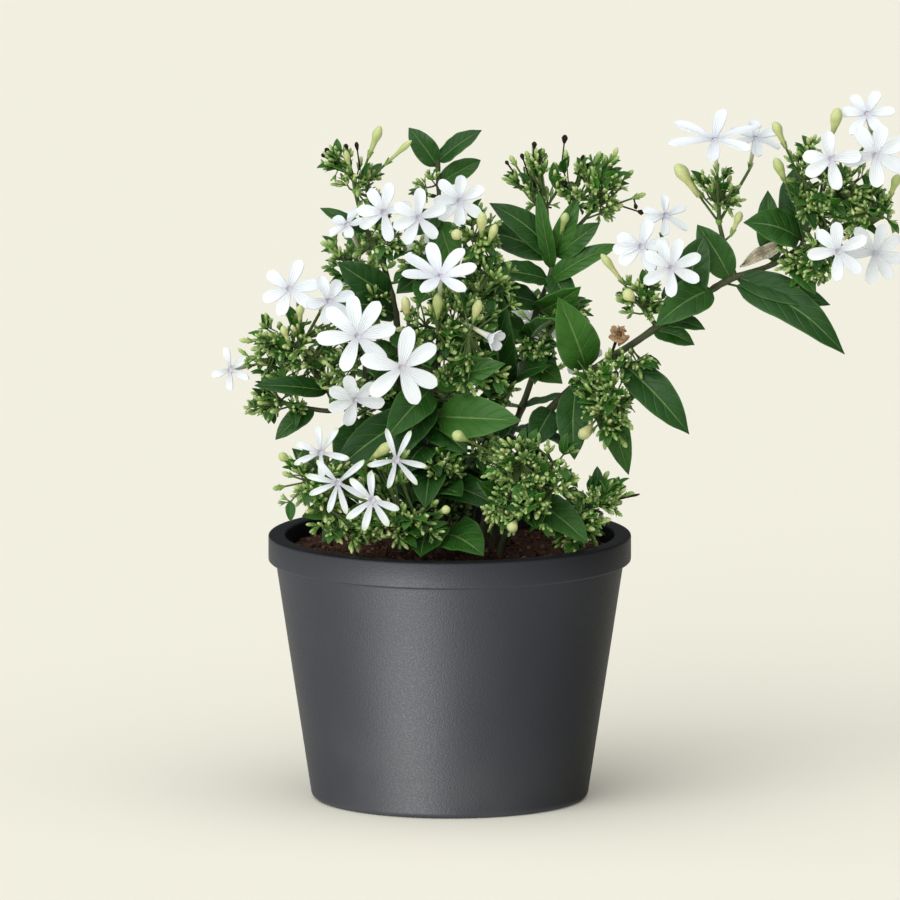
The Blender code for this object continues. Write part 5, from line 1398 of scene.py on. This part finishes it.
class JASMINE_OT_soil(bpy.types.Operator):
    """Lays the soil as a lumpy surface with loose crumbs"""
    bl_idname = "jasmine.soil"
    bl_label = "Soil"

    def height(self, x, y):
        """The surface at a place, all in millimetres."""
        swell = SOIL_RELIEF * math.sin(x / 9 + 1) * math.cos(y / 11 + x / 23)
        lumps = noise.fractal(Vector((x / 5, y / 5, 3.1)), 0.9, 2.1, 4)
        grains = noise.noise(Vector((x / 1.3, y / 1.3, 7.7)))
        return SOIL_TOP + 0.6 * swell + 0.9 * lumps + 0.28 * grains

    def execute(self, context):
        settings = context.scene.jasmine_soil
        shop = Workshop.open()
        neck = POT_HEIGHT - RIM_HEIGHT
        rings = [(2 + RING_STEP * k, SOIL_TOP) for k in range(SOIL_RINGS)]
        side = [(inner_radius(z) - GAP - 0.1, z) for z in (SOIL_TOP - 2, neck, FLOOR + GAP)]
        profile = [*rings, *side, (2, FLOOR + GAP)]
        soil = lathe([(r * MM, z * MM) for r, z in profile], SOIL_STEPS)
        for v in soil.data.vertices:
            if v.co.z > (SOIL_TOP - 0.5) * MM:
                v.co.z = self.height(v.co.x / MM, v.co.y / MM) * MM
        smoothed(soil, ROUND_SHARP)
        finish = shop.finishes.get("soil_earth")
        dressed(soil, finish)
        draw = random.Random("crumbs")
        crumbs = Growth()
        for _ in range(settings.crumbs):
            radius, angle = CRUMB_FIELD * math.sqrt(draw.random()), draw.uniform(0, math.tau)
            x, y = radius * math.cos(angle), radius * math.sin(angle)
            size = settings.crumb_size / MM * draw.uniform(0.45, 1.5)
            turn = Quaternion((draw.gauss(0, 1), draw.gauss(0, 1), draw.gauss(0, 1)), draw.uniform(0, 6))
            seat = mm((x, y, self.height(x, y) + 0.25 * size))
            place = Matrix.Translation(seat) @ turn.to_matrix().to_4x4()
            shape = shop.patterns.crumb.points * [[draw.uniform(0.7, 1.2) for _ in range(3)]] * size
            jag = np.array([[draw.uniform(0.75, 1.15)] for _ in shape])
            crumbs.add(shop.patterns.crumb, moved(shape * jag, place), draw.uniform(0.02, 1.0) ** 1.3)
        hand_over(joined("soil_bed", soil, crumbs.build("crumbs", [finish])), "soil")
        return {"FINISHED"}


class JASMINE_OT_foliage(bpy.types.Operator):
    """Grows each cane with its twigs and its folded, ribbed leaves"""
    bl_idname = "jasmine.foliage"
    bl_label = "Canes and leaves"

    def stems(self, cane, shop):
        """The cane and its twigs, swollen where leaves and twigs leave it."""
        radii, points = CANES[cane]
        route = [mm((*points[0][:2], CANE_FOOT)), *(mm(p) for p in points)]
        main = softened(route, 9)
        roots = [place.translation for _number, place, _length, _width in shop.plant.leaves[cane]]
        strands = Strands(10)
        thick = []
        for radius, point in zip(even(*radii, len(main)), main):
            near = min(((point - root).length / MM for root in roots), default=99)
            thick.append(radius * (1 + SWELLING * math.exp(-(near / SWELLING_REACH) ** 2)))
        strands.add(main, thick)
        for twig in shop.plant.routes[cane][1:]:
            end = twig[-1] + (twig[-1] - twig[-2]).normalized() * 1.4 * MM
            way = softened([*twig[:-1], end], 5)
            strands.add(way, even(*TWIG_RADII, len(way)))
        return strands.build("stems", shop.finishes.get("cane_bark"))

    def execute(self, context):
        settings = context.scene.jasmine_foliage
        shop = Workshop.open()
        grid = shop.patterns.leaf.points
        for cane in CANES:
            growth = Growth()
            for number, place, length, half_width in shop.plant.leaves[cane]:
                seed = f"leaf {number}"
                draw = random.Random(seed + " look")
                curl = draw.uniform(0.0, 0.25)
                young = draw.random() ** 1.8 * 0.8 + (0.2 if length < 22 else 0.0)
                bow = BOWED_LEAVES.get(number, draw.uniform(-0.04, 0.04))
                points = leaf_surface(grid, length, half_width, seed, curl, bow)
                growth.add(shop.patterns.leaf, moved(points, place), young)
            leaves = blades("leaves", growth, settings.thickness, shop.finishes.leaf_sides())
            hand_over(joined(cane + "_foliage", leaves, self.stems(cane, shop)), cane)
        return {"FINISHED"}


class FlowerHead:
    """Gathers the buds, calyces, stalks and bracts of one piece."""

    def __init__(self, shop, forks, clear=0.0):
        self.shop = shop
        self.forks = forks
        self.clear = clear * MM
        self.growth, self.bracts = Growth(), Growth()
        self.thick, self.fine = Strands(6), Strands(4)
        self.tips = []

    def bud(self, place, reach, length, half_width, tone):
        """A small bud in its calyx, at the end of its stalk."""
        patterns = self.shop.patterns
        self.growth.stand(patterns.bud, place, (half_width, half_width, length), reach, tone, 0.0, 1.0)
        cup = (0.95 * half_width, 0.95 * half_width, 0.52 * length)
        self.growth.stand(patterns.calyx, place, cup, reach - 0.08 * length, min(tone, 0.45), 0.3, 0.4)

    def star(self, place, reach, size, tone):
        """A young calyx that is still closed round its bud, with its teeth spread."""
        cup = (0.85 * size, 0.85 * size, YOUNG_LENGTH * size)
        self.growth.stand(self.shop.patterns.calyx, place, cup, reach - 0.4, tone, 0.15, 0.7)

    def large_bud(self, place, reach, length, half_width, tone):
        """A bud about to open, long and tubular or short and club-shaped, in its calyx."""
        patterns = self.shop.patterns
        pattern = patterns.long_bud if length > 5 * half_width else patterns.large_bud
        self.growth.stand(pattern, place, (half_width, half_width, length), reach, tone, 0.0, 1.0)
        self.growth.stand(patterns.large_calyx, place, BUD_CALYX, reach - 0.9, 0.4, 0.2, 0.5)

    def stalk(self, place, reach, radius):
        """A straight stalk along the axis of a place."""
        ends = [place @ Vector((0, 0, z)) for z in (0, reach * MM)]
        self.fine.add(ends, (radius, radius))

    def crowds(self, listed, share, draw):
        """This share of each listed crowd."""
        for centre, radii, count in listed:
            self.crowd(centre, radii, round(count * share), draw)

    def crowd(self, centre, radii, count, draw):
        """Fills an ellipsoid with small buds on branchlets that start at the nearest fork."""
        middle = mm(centre)
        tries = made = 0
        while made < count and tries < count * TRIES:
            tries += 1
            spot = any_way(draw) * draw.random() ** CROWD_FILL
            head = middle + Vector([s * r for s, r in zip(spot, radii)]) * CROWD_REACH * MM
            fork = min(self.forks, key=lambda f: (f - head).length)
            start = fork + (head - fork).normalized() * self.clear
            if (head - fork).length < self.clear + SHORTEST_BRANCHLET * MM:
                continue
            if not self.shop.plant.open_way(start, head, HEAD_MARGIN):
                continue
            outward = (head - fork).normalized() * 0.7 + Vector(HEAD_LIFT) + spot * 0.4
            buds = sum(self.sprig(head, outward, draw) for _ in range(draw.choice(HEAD_BUDS)))
            if buds:
                made += buds
                bend = fork.lerp(head, 0.5) + Vector([draw.uniform(-1, 1) for _ in range(3)]) * MM
                self.fine.add([fork, bend, head], BRANCHLET_RADII)
                for _ in range(draw.choice(HEAD_BRACTS)):
                    self.bract(head, outward, draw)

    def sprig(self, head, outward, draw):
        """One bud or young calyx on its stalk, unless something stands in its way."""
        way = (outward + any_way(draw) * HEAD_SPREAD).normalized()
        reach = draw.uniform(1.0, 3.6)
        size = draw.uniform(0.5, 1.0)
        young = draw.random() < YOUNG_SHARE
        length = YOUNG_LENGTH * size if young else BUD_LENGTH * size
        tip = head + way * (reach + length) * MM
        if any((tip - other).length < TIP_SPACING * MM for other in self.tips):
            return False
        if not self.shop.plant.open_way(head, tip, TIP_MARGIN):
            return False
        place = along(way, head)
        if young:
            self.star(place, reach, 0.7 + 0.6 * size, draw.uniform(0.2, 0.62))
        else:
            tone = draw.uniform(0.25, 0.7) if draw.random() < GREEN_SHARE else draw.uniform(0.78, 0.95)
            self.bud(place, reach, length, BUD_HALF * (0.32 + 0.44 * size), tone)
        self.stalk(place, reach + 0.3, 0.28)
        self.tips.append(tip)
        return True

    def bract(self, root, outward, draw):
        """A small young leaf at a fork."""
        reach = (outward + any_way(draw) * HEAD_SPREAD).normalized()
        length = draw.uniform(4.5, 10)
        if not self.shop.plant.open_way(root, root + reach * length * MM, TIP_MARGIN):
            return
        place = leaf_place(root, reach, Vector((0, -0.4, 1)))
        points = leaf_surface(self.shop.patterns.bract.points, length, length * 0.25, str(length), 0.3)
        self.bracts.add(self.shop.patterns.bract, moved(points, place), draw.uniform(0.0, 0.9))

    def build(self, name):
        """One piece of everything that was gathered."""
        finishes = self.shop.finishes
        buds = self.growth.build("buds", [finishes.get("bud_skin")])
        smoothed(buds)
        parts = [buds]
        if self.bracts.count:
            parts.append(blades("bracts", self.bracts, THIN_BLADE, finishes.leaf_sides()))
        for strands in (self.thick, self.fine):
            if strands.curve.splines:
                parts.append(strands.build("stalks", finishes.get("twig_green")))
        return joined(name, *parts)


class JASMINE_OT_sprays(bpy.types.Operator):
    """Grows the flower heads: branchlets, calyces, large buds, small buds and bracts"""
    bl_idname = "jasmine.sprays"
    bl_label = "Flower heads"

    def packed_parts(self, head, node):
        """The arms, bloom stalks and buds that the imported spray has, at their places."""
        plant = head.shop.plant
        _cane, _bends, hub_mm, arms = SPRAYS[node]
        hub = mm(hub_mm)
        for (spray, *_), place in zip(BLOOMS, plant.blooms):
            if spray != node:
                continue
            out = place.to_3x3() @ Vector((0, 0, 1))
            seat = place.translation - out * (TUBE_LENGTH + GAP + CALYX_LENGTH) * MM
            stalk = softened([hub, *plant.bloom_bow(node, hub, seat, out), seat, seat + out * MM], 4)
            head.thick.add(stalk, even(0.7, PEDICEL, len(stalk)))
            cup = head.shop.patterns.large_calyx
            head.growth.stand(cup, along(out, seat), BLOOM_CALYX, 0, 0.42, 0.2, 0.5)
        for spray, centre, half_width, length, *fork in LARGE_BUDS:
            if spray != node:
                continue
            foot = mm(fork[0]) if fork else hub
            way = (mm(centre) - foot).normalized()
            reach = (mm(centre) - foot).length / MM - length / 2
            place = plant.find_bud(node, foot, way, reach, length)
            if place:
                draw = random.Random(str(centre))
                head.large_bud(place, reach, length, half_width, draw.uniform(0.72, 1.0))
                head.stalk(place, reach, 0.5)
        for spray, foot, base, tip, half_width in SIDE_BUDS:
            if spray == node:
                way = mm(tip) - mm(base)
                head.fine.add([mm(foot), mm(foot).lerp(mm(base), 0.6), mm(base)], (0.5, 0.45, 0.45))
                head.large_bud(along(way.normalized(), mm(base)), 0.3, way.length / MM, half_width, 0.85)
        draw = random.Random(node)
        look = random.Random(node + " look")
        for fork, tips in arms:
            way = mm(fork) - hub
            head.thick.add([hub, hub + way * 0.5, mm(fork), mm(fork) + way.normalized() * MM],
                           (*even(*ARM_RADII, 3), 0.5))
            down = -way.normalized() * BUD_SPACING * MM
            for k, tip in enumerate(tips):
                foot = mm(fork) + down * k
                reach = max((mm(tip) - foot).length / MM - BUD_LENGTH / 2, 3)
                length = BUD_LENGTH * draw.uniform(0.85, 1.15)
                place = plant.find_bud(node, foot, (mm(tip) - foot).normalized(), reach, length)
                if place:
                    head.bud(place, reach, length, BUD_HALF, look.uniform(0.3, 0.85))
                    head.stalk(place, reach, STALK)
                    head.tips.append(place @ Vector((0, 0, (reach + length) * MM)))

    def execute(self, context):
        settings = context.scene.jasmine_buds
        shop = Workshop.open()
        for node, (_cane, _bends, hub, arms) in SPRAYS.items():
            head = FlowerHead(shop, [mm(hub), *(mm(fork) for fork, _tips in arms)])
            self.packed_parts(head, node)
            head.crowds(CROWDS[node], settings.crowding, random.Random(node + " crowd"))
            swelling = shop.patterns.large_bud
            points = moved((swelling.points - [0, 0, 0.5]) * [1.5, 1.5, 3.4], Matrix.Translation(mm(hub)))
            head.growth.add(swelling, points, 0.35, np.full(len(points), 0.4))
            hand_over(head.build(node + "_buds"), node)
        return {"FINISHED"}


class JASMINE_OT_shoots(bpy.types.Operator):
    """Grows the side shoots that leave the canes between the flower heads"""
    bl_idname = "jasmine.shoots"
    bl_label = "Side shoots"

    def execute(self, context):
        settings = context.scene.jasmine_buds
        shop = Workshop.open()
        for cane, crowds in SHOOTS.items():
            main = softened([mm(p) for p in CANES[cane][1]], 6)
            head = FlowerHead(shop, main, SHOOT_CLEARANCE)
            head.crowds(crowds, settings.crowding, random.Random(cane + " shoots"))
            hand_over(head.build(cane + "_shoots"))
        return {"FINISHED"}


class JASMINE_OT_blooms(bpy.types.Operator):
    """Opens the blooms: rounded petals round a small throat, on a thin tube"""
    bl_idname = "jasmine.blooms"
    bl_label = "Blooms"

    def execute(self, context):
        settings = context.scene.jasmine_petals
        shop = Workshop.open()
        finish = shop.finishes.get("petal_white")
        grid = shop.patterns.petal.points
        shares = (grid[:, 1] + 1) / 2
        for number, (_spray, _centre, _face, radius, half_width, lift, petals) in enumerate(BLOOMS, 1):
            node = f"bloom_{number:02d}"
            place = shop.plant.blooms[number - 1]
            draw = random.Random(node)
            look = random.Random(node + " look")
            growth = Growth()
            tone = 1.0 if number in GREEN_TIPPED else 0.0
            for k, a in enumerate(sorted(math.radians(p) % math.tau for p in petals)):
                reach = radius * draw.uniform(0.93, 1.05)
                twist, droop = draw.uniform(-0.25, 0.25), draw.uniform(0.02, 0.14)
                points = petal_surface(grid, reach, half_width, lift, twist, droop,
                                       look.uniform(0.1, 0.3), look.uniform(0.1, 0.4))
                points = points + [0, 0, 0.14 * (k % 2)]
                turn = np.array(Matrix.Rotation(a, 3, "Z"))
                growth.add(shop.patterns.petal, moved(points @ turn.T, place), tone, shares)
            corolla = blades("petals", growth, settings.thickness, [finish])
            throat = Growth()
            tube = shop.patterns.tube
            depth = np.clip(tube.points[:, 2] / TUBE_LENGTH, -1, 0)
            throat.add(tube, moved(tube.points, place), 0.0, depth)
            funnel = throat.build("funnel", [finish])
            smoothed(funnel, ROUND_SHARP)
            hand_over(joined(node + "_petals", corolla, funnel), node)
        return {"FINISHED"}


class JASMINE_OT_withered(bpy.types.Operator):
    """Adds what has died back: black bud tips, a rusty spent bloom and a dry curled leaf"""
    bl_idname = "jasmine.withered"
    bl_label = "Withered parts"

    def execute(self, context):
        shop = Workshop.open()
        growth, strands = Growth(), Strands(4)
        bud = shop.patterns.bud
        for foot, tip, half_width, length in DEAD_TIPS:
            way = (mm(tip) - mm(foot)).normalized()
            reach = (mm(tip) - mm(foot)).length / MM - length
            growth.stand(bud, along(way, mm(foot)), (half_width, half_width, length), reach, 0.08)
            strands.add([mm(foot), mm(foot).lerp(mm(tip), 0.6), mm(tip) - way * MM], (0.4, 0.34, 0.34))
        foot, centre, radius = SPENT_BLOOM
        heart = along(mm(SPENT_FACING), mm(centre))
        draw = random.Random("spent")
        for k in range(7):
            points = petal_surface(shop.patterns.petal.points, radius * draw.uniform(0.9, 1.2), 2.6,
                                   draw.uniform(0.2, 1.3), draw.uniform(-1.2, 1.2), 0.9, 0.5, 0.6)
            turn = Matrix.Rotation(math.tau * (k + draw.uniform(-0.3, 0.3)) / 7, 4, "Z")
            growth.add(shop.patterns.petal, moved(points, heart @ turn), draw.uniform(0.5, 0.66))
        growth.stand(bud, heart, (1.9, 1.9, 2.4), -0.8, 0.3)
        strands.add(softened([mm(foot), mm(centre)], 3), even(0.6, 0.9, 4))
        foot, tip, half_width = DRY_LEAF
        span = mm(tip) - mm(foot)
        place = leaf_place(mm(foot), span.normalized(), Vector((0, -1, 0.4)))
        grid = shop.patterns.leaf.points
        points = leaf_surface(grid, span.length / MM, half_width, "dry", 0.9)
        points[:, 0] *= 0.55
        points[:, 2] += 2.2 * grid[:, 0] ** 2 + 0.9 * np.sin(7 * grid[:, 1]) + 0.5 * np.sin(11 * grid[:, 0])
        growth.add(shop.patterns.leaf, moved(points, place), 0.9)
        finish = shop.finishes.get("withered")
        dead = blades("dead", growth, THIN_BLADE, [finish])
        hand_over(joined("withered_bits", dead, strands.build("stalks", finish)))
        return {"FINISHED"}


class JASMINE_PT_parts(bpy.types.Panel):
    """Lists the parts of the jasmine and their settings"""
    bl_label = "Potted jasmine"
    bl_space_type = "VIEW_3D"
    bl_region_type = "UI"
    bl_category = "Jasmine"

    def draw(self, context):
        for operator, settings in PARTS:
            box = self.layout.box()
            box.operator(operator.bl_idname)
            for name in SETTINGS[settings].__annotations__:
                box.prop(getattr(context.scene, settings), name)


SETTINGS = {"jasmine_stage": StageSettings, "jasmine_pot": PotSettings, "jasmine_soil": SoilSettings,
            "jasmine_foliage": FoliageSettings, "jasmine_buds": BudSettings,
            "jasmine_petals": PetalSettings}
PARTS = ((JASMINE_OT_pot, "jasmine_pot"), (JASMINE_OT_soil, "jasmine_soil"),
         (JASMINE_OT_foliage, "jasmine_foliage"), (JASMINE_OT_sprays, "jasmine_buds"),
         (JASMINE_OT_shoots, "jasmine_buds"), (JASMINE_OT_blooms, "jasmine_petals"),
         (JASMINE_OT_withered, "jasmine_petals"), (JASMINE_OT_stage, "jasmine_stage"))
CLASSES = (*SETTINGS.values(), *(operator for operator, _settings in PARTS), JASMINE_PT_parts)


def register():
    for kind in CLASSES:
        bpy.utils.register_class(kind)
    for name, kind in SETTINGS.items():
        setattr(bpy.types.Scene, name, PointerProperty(type=kind))


def unregister():
    for name in SETTINGS:
        delattr(bpy.types.Scene, name)
    for kind in reversed(CLASSES):
        bpy.utils.unregister_class(kind)


def main():
    register()
    bpy.ops.jasmine.pot()
    bpy.ops.jasmine.soil()
    bpy.ops.jasmine.foliage()
    bpy.ops.jasmine.sprays()
    bpy.ops.jasmine.shoots()
    bpy.ops.jasmine.blooms()
    bpy.ops.jasmine.withered()
    bpy.ops.jasmine.stage()
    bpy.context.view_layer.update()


if __name__ == "__main__":
    main()
